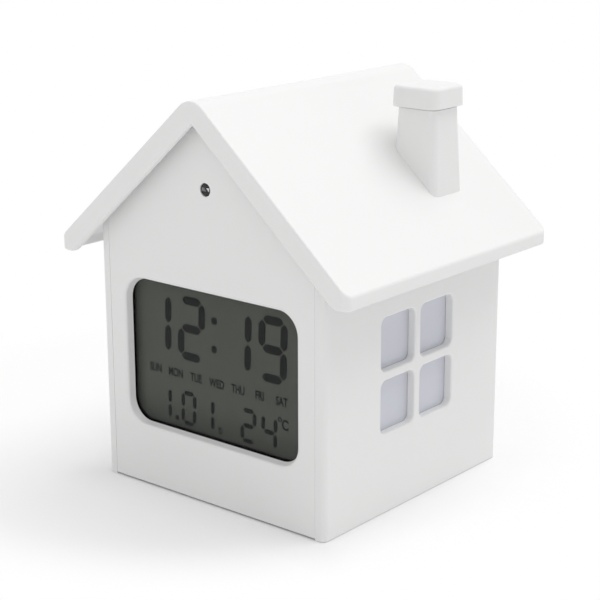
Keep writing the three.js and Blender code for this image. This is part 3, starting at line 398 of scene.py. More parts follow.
cell_right = sleeve("cell_right", BAND_PLACE)
cell_left = sleeve("cell_left", -BAND_PLACE)
green_board = moulded("green_board", BOARD_GREEN, 0.35, grain=1200, shade=0.25)
tree, lacquer, spot = opened(green_board)
brick = {"Vector": spot, "Scale": 120, "Mortar Size": 0.06, "Mortar Smooth": 0.2}
overlay(tree, lacquer, COPPER_GREEN, add(tree, "ShaderNodeTexBrick", brick).outputs["Fac"])
print("finishes with this skin:", skin.users)

# %% [markdown]
# ## Tools of the bench
# Every piece starts as a primitive at its real size and place. The helpers below do by code what a
# hand does in edit mode: select edges or faces by where they lie, round them, draw them out, cut
# along a plane, and join or cut with another piece. All but pick return to object mode, so the next
# operator finds the piece as it expects it.

# %% Add a start shape
def alone(piece):
    """Select one object and nothing else."""
    bpy.ops.object.select_all(action="DESELECT")
    bpy.context.view_layer.objects.active = piece
    piece.select_set(True)


def settle(piece, name):
    """Name a piece and move its place, turn and size into its mesh."""
    piece.name = piece.data.name = name
    alone(piece)
    bpy.ops.object.transform_apply(location=True, rotation=True, scale=True)
    return piece


def block(name, low, high):
    """A box between two corners, in millimetres."""
    low, high = mm(*low), mm(*high)
    bpy.ops.object.select_all(action="DESELECT")
    bpy.ops.mesh.primitive_cube_add(size=1, location=(low + high) / 2)
    piece = bpy.context.object
    piece.scale = high - low
    return settle(piece, name)


def pin(name, axis, centre, start, end, radius, sides=32):
    """A round bar along an axis; centre gives the other two coordinates, in millimetres."""
    middle = list(centre)
    middle.insert(axis, (start + end) / 2)
    turn = ((0, math.pi / 2, 0), (math.pi / 2, 0, 0), (0, 0, 0))[axis]
    bpy.ops.object.select_all(action="DESELECT")
    bpy.ops.mesh.primitive_cylinder_add(
        vertices=sides, radius=radius * MM, depth=(end - start) * MM, location=mm(*middle), rotation=turn
    )
    return settle(bpy.context.object, name)


def copy_of(piece, name, move=(0, 0, 0)):
    """A copy with its own mesh, moved by millimetres."""
    alone(piece)
    bpy.ops.object.duplicate()
    twin = bpy.context.object
    twin.location = mm(*move)
    return settle(twin, name)


print("start shapes: block, pin, copy_of")


# %% Select by place
NEAR = 0.004


def middle(part):
    """The middle of a point, edge or face, in millimetres."""
    corners = [part] if isinstance(part, bmesh.types.BMVert) else part.verts
    return sum((corner.co for corner in corners), Vector()) / len(corners) / MM


def lies_on(part, axis, place):
    """True where an edge or face lies in a plane across an axis."""
    return all(abs(corner.co[axis] / MM - place) < NEAR for corner in part.verts)


def runs_along(edge, axis):
    """True for an edge parallel to an axis."""
    run = edge.verts[1].co - edge.verts[0].co
    return abs(run[axis]) > 0.999 * run.length > 0


def rim(edge, axis, place):
    """True for an edge where a flat face across an axis meets a wall."""
    if len(edge.link_faces) != 2 or not lies_on(edge, axis, place):
        return False
    wall, flat = sorted(abs(face.normal[axis]) for face in edge.link_faces)
    return wall < 0.7 and flat > 0.99


def every(part):
    """The test that all points, edges and faces pass."""
    return True


def pick(piece, kind, test):
    """Open a piece in edit mode with only the points, edges or faces that pass a test selected."""
    alone(piece)
    bpy.ops.object.mode_set(mode="EDIT")
    bpy.ops.mesh.select_mode(type=kind)
    bpy.ops.mesh.select_all(action="DESELECT")
    shape = bmesh.from_edit_mesh(piece.data)
    shape.normal_update()
    parts = {"VERT": shape.verts, "EDGE": shape.edges, "FACE": shape.faces}[kind]
    chosen = [part for part in parts if test(part)]
    for part in chosen:
        part.select_set(True)
    shape.select_flush_mode()
    bmesh.update_edit_mesh(piece.data)
    return len(chosen)


print("tests: lies_on, runs_along, rim, every; they are used by pick")


# %% Shape what is selected
def work(piece, kind, test, operator, **settings):
    """Use one operator of edit mode on what passes a test, and give the count of that."""
    count = pick(piece, kind, test)
    operator(**settings)
    bpy.ops.object.mode_set(mode="OBJECT")
    return count


def soften(piece, radius, segments, test):
    """Round the edges that pass a test."""
    count = work(
        piece, "EDGE", test, bpy.ops.mesh.bevel, offset=radius * MM, segments=segments,
        profile=0.5, affect="EDGES", clamp_overlap=False,
    )
    print(f"  {piece.name}: {count} edges rounded by {radius} mm")


def shift(piece, move, test):
    """Move the points that pass a test, in millimetres."""
    work(piece, "VERT", test, bpy.ops.transform.translate, value=mm(*move))


def widen(piece, factors, centre, test):
    """Scale the points that pass a test about a centre in millimetres."""
    work(piece, "VERT", test, bpy.ops.transform.resize, value=factors, center_override=mm(*centre))


def slice_by(piece, point, normal, keep_all=False):
    """Cut along a plane. Unless all is kept, the half the normal points to goes and the cut is closed."""
    work(
        piece, "FACE", every, bpy.ops.mesh.bisect, plane_co=mm(*point), plane_no=normal,
        use_fill=not keep_all, clear_outer=not keep_all, threshold=1e-7,
    )


print("shaping tools: soften, shift, widen, slice_by")


# %% Join, cut and finish
SMOOTH_BELOW = math.radians(40)
FLAT_WITHIN = math.radians(0.3)
SAME_POINT = 0.001 * MM


def combine(piece, tool, how):
    """Join a tool to a piece, or cut it out, and delete the tool."""
    alone(piece)
    bpy.ops.object.modifier_add(type="BOOLEAN")
    joint = piece.modifiers[-1]
    joint.operation, joint.solver, joint.object = how, "EXACT", tool
    bpy.ops.object.modifier_apply(modifier=joint.name)
    bpy.data.objects.remove(tool)


def carve(piece, *tools):
    for tool in tools:
        combine(piece, tool, "DIFFERENCE")


def fuse(piece, *tools):
    for tool in tools:
        combine(piece, tool, "UNION")


def tidy(piece):
    """Merge doubles, take out edges inside flat faces, and point the faces outwards."""
    pick(piece, "FACE", every)
    bpy.ops.mesh.remove_doubles(threshold=SAME_POINT)
    bpy.ops.mesh.dissolve_limited(angle_limit=FLAT_WITHIN)
    bpy.ops.mesh.normals_make_consistent(inside=False)
    bpy.ops.object.mode_set(mode="OBJECT")


def dress(piece, finish, body, slot, *nodes):
    """Shade a finished piece, give it its finish, and hand it to the body that carries it."""
    alone(piece)
    bpy.ops.object.shade_smooth_by_angle(angle=SMOOTH_BELOW)
    bpy.ops.object.modifier_add(type="WEIGHTED_NORMAL")
    piece.modifiers[-1].keep_sharp = True
    bpy.ops.object.modifier_apply(modifier=piece.modifiers[-1].name)
    piece.data.materials.append(finish)
    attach(piece, body)
    if nodes:
        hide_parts(*nodes)
    piece.data.calc_loop_triangles()
    print(f"{piece.name}: {len(piece.data.loop_triangles)} triangles on {body}")


print("joining tools: carve, fuse, tidy, dress")

# %% [markdown]
# ## Side walls and floor
# The two side walls and the floor are one moulding. Each wall has rounded corners, a jamb that the
# front and rear panels slip into, and a window of four panes. One wall could be modelled twice, but
# a Mirror modifier keeps both sides equal: the right wall is cut from one block, its corners and
# panes are rounded, and the mirror makes the left one before the floor joins them.

# %% The right wall
HALF = 40
WALL_INNER = 37.6
JAMB_INNER = 36.8
STOP_INNER = 34.8
STOP_FACE = 37.65
STOP_BACK = 35.65
OUTSIDE = 45
WALL_CORNER = 1.7
SIDE_HEIGHT = 70.6
ROOF_PITCH = math.radians(41.4)
ROOF_SLOPE = math.tan(ROOF_PITCH)
ROOF_THICK = 6.1
ROOF_SKIN = 2.2
ROOF_FIT = 0.15
RIDGE_RADIUS = 6
UNDERSIDE = SIDE_HEIGHT + HALF * ROOF_SLOPE
ROOF_TOP = UNDERSIDE + ROOF_THICK / math.cos(ROOF_PITCH)
CEILING = ROOF_TOP - ROOF_SKIN / math.cos(ROOF_PITCH)
WALL_TOP = CEILING - ROOF_FIT / math.cos(ROOF_PITCH)


def trim_under(piece, apex):
    """Trim a piece along both slopes of the roof, which meet at a height over the middle."""
    for side in (-1, 1):
        slice_by(piece, (0, 0, apex), (side * math.sin(ROOF_PITCH), 0, math.cos(ROOF_PITCH)))


walls = block("house_walls", (STOP_INNER, -HALF, 0), (HALF, HALF, 90))
carve(walls, block("room", (30, -STOP_BACK, -1), (WALL_INNER, STOP_BACK, 91)))
for end in (-1, 1):
    near, far = sorted((end * STOP_FACE, end * OUTSIDE))
    carve(walls, block("rebate", (30, near, -1), (JAMB_INNER, far, 91)))
soften(walls, WALL_CORNER, 10, lambda edge: runs_along(edge, Z) and lies_on(edge, X, HALF))
trim_under(walls, WALL_TOP)

# %% Window panes
PANE_HALF = 7.5
PANE_PITCH = 17.5
PANE_CORNER = 2.2
PANE_RIM = 0.5
FOOT_RIM = 0.4
WINDOW_HEIGHT = 39.1


def rounded_block(name, low, high, axis, radius, segments):
    """A block whose four edges along one axis are rounded."""
    piece = block(name, low, high)
    soften(piece, radius, segments, lambda edge: runs_along(edge, axis))
    return piece


def window_block(name, near, far, half, radius, segments):
    """A rounded block about the middle of a window, between two places across its wall."""
    low, high = (near, -half, WINDOW_HEIGHT - half), (far, half, WINDOW_HEIGHT + half)
    return rounded_block(name, low, high, X, radius, segments)


def pane_rim(edge):
    """True for the outer rim of a pane."""
    spot = middle(edge)
    return rim(edge, X, HALF) and abs(spot.y) < 20 and 20 < spot.z < 60


pane = window_block("pane", 35, 45, PANE_HALF, PANE_CORNER, 8)
for across in (-PANE_PITCH / 2, PANE_PITCH / 2):
    for up in (-PANE_PITCH / 2, PANE_PITCH / 2):
        carve(walls, copy_of(pane, "pane_cut", (0, across, up)))
bpy.data.objects.remove(pane)
tidy(walls)
soften(walls, PANE_RIM, 4, pane_rim)
soften(walls, FOOT_RIM, 3, lambda edge: rim(edge, Z, 0) and middle(edge).x > WALL_INNER + 0.1)

# %% What the walls carry inside: light boxes, roof tabs and screw posts
BOX_INNER, BOX_OUTER = 17.45, 18.65
ROOF_SCREW_X, ROOF_SCREW_Y = 31, 28
CASE_SCREW_X, CASE_SCREW_HEIGHTS = 32.4, (5.8, 58)
PILOT = 1.3


def tube(axis, centre, outer, bore, sides=32):
    """A post with a bore along an axis; each has a start, an end and a radius, in millimetres."""
    post = pin("post", axis, centre, *outer, sides)
    carve(post, pin("bore", axis, centre, *bore, sides))
    return post


light_box = window_block("light_box", 29.6, 38, BOX_OUTER, 2.2, 5)
carve(light_box, window_block("hollow", 28, 39, BOX_INNER, 1.2, 5))
fuse(walls, light_box)
for end in (-ROOF_SCREW_Y, ROOF_SCREW_Y):
    tab = block("tab", (27, end - 4, 66), (38, end + 4, 68.5))
    carve(tab, pin("tab_hole", Z, (ROOF_SCREW_X, end), 60, 70, 1.5))
    fuse(walls, tab)
for height in CASE_SCREW_HEIGHTS:
    fuse(walls, tube(Y, (CASE_SCREW_X, height), (31.15, STOP_FACE, 3.2), (30, 38, PILOT)))

# %% The left wall and the floor
alone(walls)
bpy.ops.object.modifier_add(type="MIRROR")
bpy.ops.object.modifier_apply(modifier=walls.modifiers[-1].name)
fuse(walls, block("floor", (-38, -STOP_FACE, 0.6), (38, STOP_FACE, 2.6)))
tidy(walls)
dress(walls, white_case, "house", "case", "house_shell")

# %% [markdown]
# ## Front panel
# A plate in the shape of the gable, let in between the jambs so that a fine seam runs round it. The
# display opening has large corners, walls that lean outwards and a soft rounded rim, which catches
# the light above and on the right and falls into shade on the left. It could be drawn as an outline
# and thickened; a block cut along the two roof slopes gives the same gable with fewer steps.

# %% The gabled plate
PANEL_HALF = 36.73
PANEL_LIFT = 0.5
PANEL_INNER = 37.8


def round_ridge(piece, apex, cover):
    """Round the ridge of a piece that lies under a given thickness of roof."""
    reach = (RIDGE_RADIUS - cover) * math.tan(ROOF_PITCH)
    soften(piece, reach, 14, lambda edge: runs_along(edge, Y) and abs(middle(edge).z - apex) < 0.01)


def gabled_plate(name, near, far):
    """A plate across Y with the outline of the gable."""
    plate = block(name, (-PANEL_HALF, near, PANEL_LIFT), (PANEL_HALF, far, 120))
    trim_under(plate, WALL_TOP)
    round_ridge(plate, WALL_TOP, ROOF_SKIN + ROOF_FIT)
    return plate


front = gabled_plate("front_plate", -HALF, -PANEL_INNER)

# %% The display opening and the sensor hole
PANEL_RIM = 0.12
DISPLAY_HALF = 31
DISPLAY_LOW, DISPLAY_HIGH = 17.75, 60.35
DISPLAY_CORNER = 6.4
DISPLAY_DRAFT = math.tan(math.radians(15))
DISPLAY_RIM = 0.6
SENSOR_HEIGHT = 88.2
SENSOR_HOLE = 1.8
SENSOR_RIM = 0.1
CUT_REACH = 5


def display_rim(edge):
    """True for the front rim of the display opening."""
    spot = middle(edge)
    return rim(edge, Y, -HALF) and abs(spot.x) < 32 and 15 < spot.z < 62


def sensor_rim(edge):
    """True for the front rim of the sensor hole."""
    spot = middle(edge)
    return rim(edge, Y, -HALF) and abs(spot.x) < 3 and spot.z > 80


near, far = -HALF - CUT_REACH, CUT_REACH - HALF
low, high = (-DISPLAY_HALF, near, DISPLAY_LOW), (DISPLAY_HALF, far, DISPLAY_HIGH)
opening = rounded_block("opening", low, high, Y, DISPLAY_CORNER, 14)
middle_height = (DISPLAY_LOW + DISPLAY_HIGH) / 2
half_height = (DISPLAY_HIGH - DISPLAY_LOW) / 2
for end, grow in ((near, CUT_REACH * DISPLAY_DRAFT), (far, -CUT_REACH * DISPLAY_DRAFT)):
    factors = (1 + grow / DISPLAY_HALF, 1, 1 + grow / half_height)
    widen(opening, factors, (0, end, middle_height), lambda corner: abs(middle(corner).y - end) < 1)
carve(front, opening, pin("sensor_hole", Y, (0, SENSOR_HEIGHT), -OUTSIDE, -35, SENSOR_HOLE, 40))
tidy(front)
soften(front, DISPLAY_RIM, 6, display_rim)
soften(front, SENSOR_RIM, 3, sensor_rim)
soften(front, PANEL_RIM, 3, lambda edge: rim(edge, Y, -HALF) and edge.calc_length() > 30 * MM)

# %% What the panel carries behind it: board posts and the sensor's sleeve
POST_ROOT = 38.3
for place in ((-26, 8.4), (26, 8.4), (-18, 67.2), (18, 67.2)):
    fuse(front, tube(Y, place, (-POST_ROOT, -31.7, 2.6), (-37.7, -30, PILOT)))
fuse(front, tube(Y, (0, SENSOR_HEIGHT), (-POST_ROOT, -34.8, 3.5), (-37.8, -34, 2.5)))
carve(front, pin("sensor_bore", Y, (0, SENSOR_HEIGHT), -OUTSIDE, -34, SENSOR_HOLE, 40))
tidy(front)
dress(front, white_case, "house", "case", "front_panel")

# %% [markdown]
# ## Roof
# From outside a thick slab bent over the ridge: the ridge is a broad round, the eaves hang over the
# walls with a low fascia, and all outer edges are rounded. From below it is a thin skin with a lip
# that hangs down all round, so that the moulding cools without sinking. It starts as one block that
# is cut at the ridge and at the soffits, and the new points are moved into the profile; the inside
# could be drawn as a second profile, but one more block with the same slopes cores it out.

# %% The slab
EAVE = 51
FRONT_END, REAR_END = -45, 46.3
FASCIA = 3.8
EAVE_TOP = ROOF_TOP - EAVE * ROOF_SLOPE
SOFFIT = EAVE_TOP - FASCIA
SOFFIT_EDGE = HALF + (SIDE_HEIGHT - SOFFIT) / ROOF_SLOPE


def on_profile(part, x, height):
    """True for a point or edge at a place of the roof's profile, on either side."""
    spot = middle(part)
    return abs(abs(spot.x) - x) < 0.01 and abs(spot.z - height) < 0.01


roof = block("roof_slab", (-EAVE, FRONT_END, SOFFIT), (EAVE, REAR_END, EAVE_TOP))
for place in (-SOFFIT_EDGE, 0, SOFFIT_EDGE):
    slice_by(roof, (place, 0, 0), (1, 0, 0), keep_all=True)
for x, low, high in ((0, UNDERSIDE, ROOF_TOP), (SOFFIT_EDGE, SOFFIT, ROOF_TOP - SOFFIT_EDGE * ROOF_SLOPE)):
    for height, goal in ((SOFFIT, low), (EAVE_TOP, high)):
        shift(roof, (0, 0, goal - height), lambda corner: on_profile(corner, x, height))
tidy(roof)

# %% Its rounded edges
SOFFIT_ROUND = 4
CORNER_ROUND = 2.4
UPPER_ROUND, LOWER_ROUND = 0.55, 0.9


def soffit_edge(edge):
    """True for the edge where the underside of the roof turns into the flat soffit."""
    return runs_along(edge, Y) and on_profile(edge, SOFFIT_EDGE, SOFFIT)


def eave_corner(edge):
    """True for the upright corners of the slab."""
    return runs_along(edge, Z) and abs(abs(middle(edge).x) - EAVE) < NEAR


def outline(edge, side):
    """True for an edge of the slab's upper (1) or lower (-1) outline, at the gable ends and the eaves."""
    if len(edge.link_faces) != 2:
        return False
    wall, cover = sorted((face.normal.z for face in edge.link_faces), key=abs)
    return abs(wall) < 0.01 and cover * side > 0.5


round_ridge(roof, ROOF_TOP, 0)
soften(roof, SOFFIT_ROUND * math.tan(ROOF_PITCH / 2), 8, soffit_edge)
soften(roof, CORNER_ROUND, 10, eave_corner)
soften(roof, UPPER_ROUND, 5, lambda edge: outline(edge, 1))
soften(roof, LOWER_ROUND, 5, lambda edge: outline(edge, -1))

# %% The core and the lip
LIP = 2
LIP_RIM = 0.5
INSIDE = ((X, LIP - EAVE), (X, EAVE - LIP), (Y, FRONT_END + LIP), (Y, REAR_END - LIP))
core = block("core", (LIP - EAVE, FRONT_END + LIP, 50), (EAVE - LIP, REAR_END - LIP, 130))
trim_under(core, CEILING)
round_ridge(core, CEILING, ROOF_SKIN)
carve(roof, core)
tidy(roof)


def lip_edge(edge):
    """True for the inner lower edges of the lip."""
    if len(edge.link_faces) != 2:
        return False
    inner = any(lies_on(edge, axis, place) for axis, place in INSIDE)
    lowest = min(face.normal.z for face in edge.link_faces)
    return inner and lowest < -0.5 and middle(edge).z < UNDERSIDE + 0.1


soften(roof, LIP_RIM, 3, lip_edge)

# %% The screw pillars and the hole for the chimney
CHIMNEY = (28.7, 18.5)
SPIGOT_HOLE = 10.7


def pillar(place, radius, bottom):
    """A pillar that hangs from the skin of the roof."""
    made = pin("pillar", Z, place, bottom, 125, radius)
    trim_under(made, (ROOF_TOP + CEILING) / 2)
    return made


def chimney_block(name, width, depth, bottom, top):
    """A block about the chimney's axis."""
    low = (CHIMNEY[0] - width / 2, CHIMNEY[1] - depth / 2, bottom)
    return block(name, low, (CHIMNEY[0] + width / 2, CHIMNEY[1] + depth / 2, top))


for place in [(x, y) for x in (-ROOF_SCREW_X, ROOF_SCREW_X) for y in (-ROOF_SCREW_Y, ROOF_SCREW_Y)]:
    screw_pillar = pillar(place, 3, 68.6)
    carve(screw_pillar, pin("pilot", Z, place, 60, 74.5, PILOT))
    fuse(roof, screw_pillar)
for x in (23.1, 34.3):
    fuse(roof, pillar((x, CHIMNEY[1]), 1.5, 72.36))
carve(roof, chimney_block("spigot_hole", SPIGOT_HOLE, SPIGOT_HOLE, 60, 120))
tidy(roof)
dress(roof, white_case, "house", "case", "roof")

# %% [markdown]
# ## Chimney
# The stack tapers upwards, because a moulding needs draft to leave its tool, and its foot follows
# the slope of the roof. A square spigot goes through the roof and holds it. The cap stands 0.4 mm
# above it on a square neck, and a stem below carries the press down to the switch. The taper could
# be a modifier, but widening the foot of a block keeps its top at the size that is written, and one
# cut along the roof's surface gives the foot.

# %% The stack
STACK_TOP = 105.5
STACK_FOOT = 72
STACK_DRAFT = math.tan(math.radians(2.5))
STACK_WIDTH, STACK_DEPTH = 12.9, 11.7
STACK_CORNER = 2
STACK_RIM = 0.12
REST = 0.02


def climbs(edge, height):
    """True for an edge that rises by more than a height, in millimetres."""
    return abs(edge.verts[0].co.z - edge.verts[1].co.z) > height * MM


stack = chimney_block("chimney_stack_shell", STACK_WIDTH, STACK_DEPTH, STACK_FOOT, STACK_TOP)
spread = 2 * (STACK_TOP - STACK_FOOT) * STACK_DRAFT
factors = (1 + spread / STACK_WIDTH, 1 + spread / STACK_DEPTH, 1)
widen(stack, factors, (*CHIMNEY, STACK_FOOT), lambda corner: middle(corner).z < STACK_FOOT + 1)
soften(stack, STACK_CORNER, 8, lambda edge: climbs(edge, 20))
soften(stack, STACK_RIM, 3, lambda edge: rim(edge, Z, STACK_TOP))
foot = ROOF_TOP + REST / math.cos(ROOF_PITCH)
slice_by(stack, (0, 0, foot), (-math.sin(ROOF_PITCH), 0, -math.cos(ROOF_PITCH)))
fuse(stack, chimney_block("spigot", 10.4, 10.4, 78.36, 93))
carve(
    stack,
    pin("bore", Z, CHIMNEY, 79.96, 103.9, 4.2),
    chimney_block("neck_hole", 9.4, 9.4, 98.8, 110),
    pin("guide_hole", Z, CHIMNEY, 70, 85, 2.5),
)
tidy(stack)
dress(stack, white_case, "house", "case", "chimney_stack")


# %% Turned pieces
TO_FRONT = (math.pi / 2, 0, 0)
TO_BACK = (-math.pi / 2, 0, 0)


def turned(name, profile, sides=40):
    """A round piece about Z: a disc drawn out ring by ring through (radius, height) pairs."""
    radius, height = profile[0]
    bpy.ops.object.select_all(action="DESELECT")
    bpy.ops.mesh.primitive_circle_add(
        vertices=sides, radius=radius * MM, location=(0, 0, height * MM), fill_type="NGON"
    )
    piece = settle(bpy.context.object, name)
    bpy.ops.object.mode_set(mode="EDIT")
    bpy.ops.mesh.select_mode(type="FACE")
    bpy.ops.mesh.select_all(action="SELECT")
    for wider, higher in profile[1:]:
        bpy.ops.mesh.extrude_region_move(TRANSFORM_OT_translate={"value": (0, 0, (higher - height) * MM)})
        share = wider / radius
        bpy.ops.transform.resize(value=(share, share, 1), center_override=(0, 0, higher * MM))
        radius, height = wider, higher
    bpy.ops.mesh.select_all(action="SELECT")
    bpy.ops.mesh.normals_make_consistent(inside=False)
    bpy.ops.object.mode_set(mode="OBJECT")
    return piece


def moved(piece, move, turn=(0, 0, 0)):
    """Turn a piece about the origin, then move it by millimetres."""
    piece.rotation_euler = turn
    piece.location = mm(*move)
    return settle(piece, piece.name)


print("turning tools: turned, moved")

# %% The cap, its neck and its stem
CAP_WIDTH = 15.3
CAP_TOP_WIDTH = 14.9
CAP_BOTTOM, CAP_TOP = 105.93, 111.65
CAP_CORNER = 3
CAP_ROUND, CAP_RIM = 1, 0.15
cap = chimney_block("snooze_cap", CAP_WIDTH, CAP_WIDTH, CAP_BOTTOM, CAP_TOP)
share = CAP_TOP_WIDTH / CAP_WIDTH
widen(cap, (share, share, 1), (*CHIMNEY, CAP_TOP), lambda corner: middle(corner).z > CAP_TOP - 1)
soften(cap, CAP_CORNER, 10, lambda edge: climbs(edge, 3))
soften(cap, CAP_ROUND, 6, lambda edge: rim(edge, Z, CAP_TOP))
soften(cap, CAP_RIM, 3, lambda edge: rim(edge, Z, CAP_BOTTOM))
fuse(cap, chimney_block("neck", 8.8, 8.8, 99.5, 107))
stem = turned("stem", [
    (1.8, 76.36), (2.2, 76.75), (2.2, 77.46), (1.7, 77.46), (1.7, 78.36), (2.2, 78.36), (2.2, 100),
])
fuse(cap, moved(stem, (*CHIMNEY, 0)))
tidy(cap)
dress(cap, white_key, "snooze_key", "key", "chimney_cap")

# %% [markdown]
# ## Display
# From the front: a clear window, a black border sheet, the display panel and, printed on it as
# thin dark shapes, the segments that are switched on. The segments could be painted by a material,
# but real shapes stay sharp at any distance and cast a tiny shadow like the real liquid crystal.

# %% Window and panel
GLASS_HALF = 31.6
GLASS_LOW, GLASS_HIGH = 14.4, 61.2


def glass_sheet(name, front, back):
    """A sheet as large as the display's glass, between two places along Y."""
    return block(name, (-GLASS_HALF, front, GLASS_LOW), (GLASS_HALF, back, GLASS_HIGH))


window = glass_sheet("clear_window", -37.7, -36.7)
soften(window, 0.2, 3, every)
dress(window, clear_window, "house", "display_window", "display_window")

panel = glass_sheet("display_panel", -36.6, -34.4)
soften(panel, 0.15, 3, every)
dress(panel, display_grey, "house", "lcd", "lcd_glass")

# a thin black sheet with a rounded opening, just in front of the display panel
border = glass_sheet("display_border", -36.68, -36.61)
carve(border, rounded_block("border_cut", (-30.55, -40, 18.7), (30.55, -30, 60.2), Y, 6.2, 12))
tidy(border)
dress(border, display_black, "house", "lcd")

# %% [markdown]
# The figures are seven-segment digits: bars with pointed ends, so that neighbours meet at a slant
# with a fine gap. One lying and one upright bar are modelled for each size of digit, by drawing the
# ends of a block out to a point, and copied to the places that the digit needs. The whole digit
# then leans two degrees to the right.

# %% A pointed bar
INK_FRONT, INK_BACK = -36.645, -36.605
TIP = 0.88


def bar(name, length, stroke, axis):
    """A pointed bar along X or Z, from the origin to its length."""
    half = stroke / 2
    low, high = [-half, INK_FRONT, -half], [half, INK_BACK, half]
    low[axis], high[axis] = half, length - half
    piece = block(name, low, high)
    for place, move in ((half, -half), (length - half, half)):
        pick(piece, "FACE", lambda face: lies_on(face, axis, place))
        step = [0, 0, 0]
        step[axis] = move * TIP
        bpy.ops.mesh.extrude_region_move(TRANSFORM_OT_translate={"value": mm(*step)})
        squeeze = (1, 1, 1 - TIP) if axis == X else (1 - TIP, 1, 1)
        bpy.ops.transform.resize(value=squeeze, center_override=(0, 0, 0))
        bpy.ops.object.mode_set(mode="OBJECT")
    return piece


print("ink is", round(INK_BACK - INK_FRONT, 3), "mm thick")

# %% Seven-segment digits
SEGMENT_GAP = 0.36
LEAN = math.tan(math.radians(2))
LIT = {"0": "abcdef", "1": "bc", "2": "abdeg", "4": "bcfg", "9": "abcdfg"}


def join(name, pieces):
    """Make several pieces one object."""
    alone(pieces[0])
    for piece in pieces[1:]:
        piece.select_set(True)
    bpy.ops.object.join()
    return settle(bpy.context.object, name)


def digits(values, left_edges, bottom, width, height, stroke):
    """Digits of one size, as pieces; each leans about its own middle."""
    flat = bar("flat_bar", width - stroke - SEGMENT_GAP * 1.4, stroke, X)
    tall = bar("tall_bar", (height - stroke) / 2 - SEGMENT_GAP * 1.4, stroke, Z)
    start, half, inset = stroke / 2, (height - stroke) / 2, SEGMENT_GAP * 0.7
    right = width - stroke / 2
    levels = (start, start + half, start + 2 * half)
    places = {letter: (flat, start + inset, level) for letter, level in zip("dga", levels)}
    for letters, across in (("ef", start), ("cb", right)):
        for letter, level in zip(letters, levels):
            places[letter] = (tall, across, level + inset)
    made = []
    for value, left in zip(values, left_edges):
        bars = []
        for letter in LIT[value]:
            shape, across, up = places[letter]
            bars.append(copy_of(shape, "bar", (across, 0, up)))
        digit = join("digit", bars)
        lean = Matrix.Identity(4)
        lean[0][2] = LEAN
        lean[0][3] = (left - LEAN * height / 2) * MM
        lean[2][3] = bottom * MM
        digit.data.transform(lean)
        made.append(digit)
    for bare in (flat, tall):
        bpy.data.objects.remove(bare)
    return made


ink = digits("1219", (-26.6, -14.1, 2.6, 15.0), 38.75, 10, 18.3, 2.4)
ink += digits("10124", (-22.8, -13.5, -6.7, 8.4, 15.75), 19.8, 5.6, 10, 1.3)
print("digits made:", len(ink))


# %% Dots, weekdays and the degree sign
SIZE_OF_CAPITALS = 1.37
BOLDER = 0.04
WEEK_START, WEEK_PITCH, WEEK_HEIGHT = -23.05, 7.67, 34.2


def dot(x, z, radius):
    return pin("dot", Y, (x, z), INK_FRONT, INK_BACK, radius, 24)


def lettering(words, x, z, height, squeeze):
    """Words as a thin mesh, centred at a place, with capitals of a height in millimetres."""
    bpy.ops.object.select_all(action="DESELECT")
    bpy.ops.object.text_add()
    text = bpy.context.object
    text.data.body = words
    text.data.align_x, text.data.align_y = "CENTER", "CENTER"
    text.data.size = height * MM * SIZE_OF_CAPITALS
    text.data.offset = height * MM * BOLDER
    text.data.extrude = (INK_BACK - INK_FRONT) / 2 * MM
    bpy.ops.object.convert(target="MESH")
    text = bpy.context.object
    text.scale = (squeeze, 1, 1)
    text.rotation_euler = TO_FRONT
    text.location = mm(x, (INK_FRONT + INK_BACK) / 2, z)
    return settle(text, "lettering")


ink += [dot(-0.6, 51.85, 1.08), dot(-0.8, 43.85, 1.08), dot(-15.3, 21.1, 0.75)]
for index, day in enumerate(("SUN", "MON", "TUE", "WED", "THU", "FRI", "SAT")):
    ink.append(lettering(day, WEEK_START + WEEK_PITCH * index, WEEK_HEIGHT, 2.45, 0.7))
ink += [lettering("C", 24.1, 27.9, 2.9, 0.86), lettering("D", 1.0, 20.9, 1.9, 0.8)]
ink.append(tube(Y, (22.3, 29.25), (INK_FRONT, INK_BACK, 0.7), (-40, -30, 0.36), 24))
segments = join("display_segments", ink)
tidy(segments)
dress(segments, display_ink, "house", "lcd")

# %% [markdown]
# ## Light sensor
# The small eye in the gable is a phototransistor: a black body with a clear resin drop in front, and
# under the drop a dull metal foot and the foot that carries the chip, parted by a slanting gap. The
# second foot is near white: a painted glint, the light that its metal throws back. Body and drop are
# turned pieces. Each foot is a thin plate whose inner end is cut at a slant, because the eye is so
# small that only the two patches and the gap between them show.

# %% Body, feet and drop
SENSOR_FACE = -39.65
FOOT_FACE = SENSOR_FACE - 0.08
FOOT_SLANT = math.radians(40)
DROP_RADIUS, DROP_EDGE, DROP_RISE = 1.6, 0.08, 0.3
body = turned("sensor_body", [(2.1, 0), (2.1, 0.8), (1.72, 0.8), (1.72, 4.65), (1.62, 4.75)])
moved(body, (0, -34.9, SENSOR_HEIGHT), TO_FRONT)
for side in (-0.635, 0.635):
    fuse(body, pin("lead", Y, (side, SENSOR_HEIGHT), -35.2, -31.7, 0.3, 12))
dress(body, sensor_black, "house", "lens", "light_sensor")

# the chip's foot takes a painted glint as its colour
for name, finish, left, right, gap, away in (
    ("sensor_foot", dull_metal, -1.3, 0.9, -0.12, 1), ("sensor_chip", glint_painted_chip, -0.4, 1.2, 0.7, -1),
):
    low, high = (left, FOOT_FACE, SENSOR_HEIGHT - 0.4), (right, SENSOR_FACE + 0.02, SENSOR_HEIGHT + 0.5)
    foot = block(name, low, high)
    slant = (away * math.cos(FOOT_SLANT), 0, away * math.sin(FOOT_SLANT))
    slice_by(foot, (gap, 0, SENSOR_HEIGHT), slant)
    soften(foot, 0.02, 3, lambda edge: rim(edge, Y, FOOT_FACE))
    dress(foot, finish, "house", "lens")

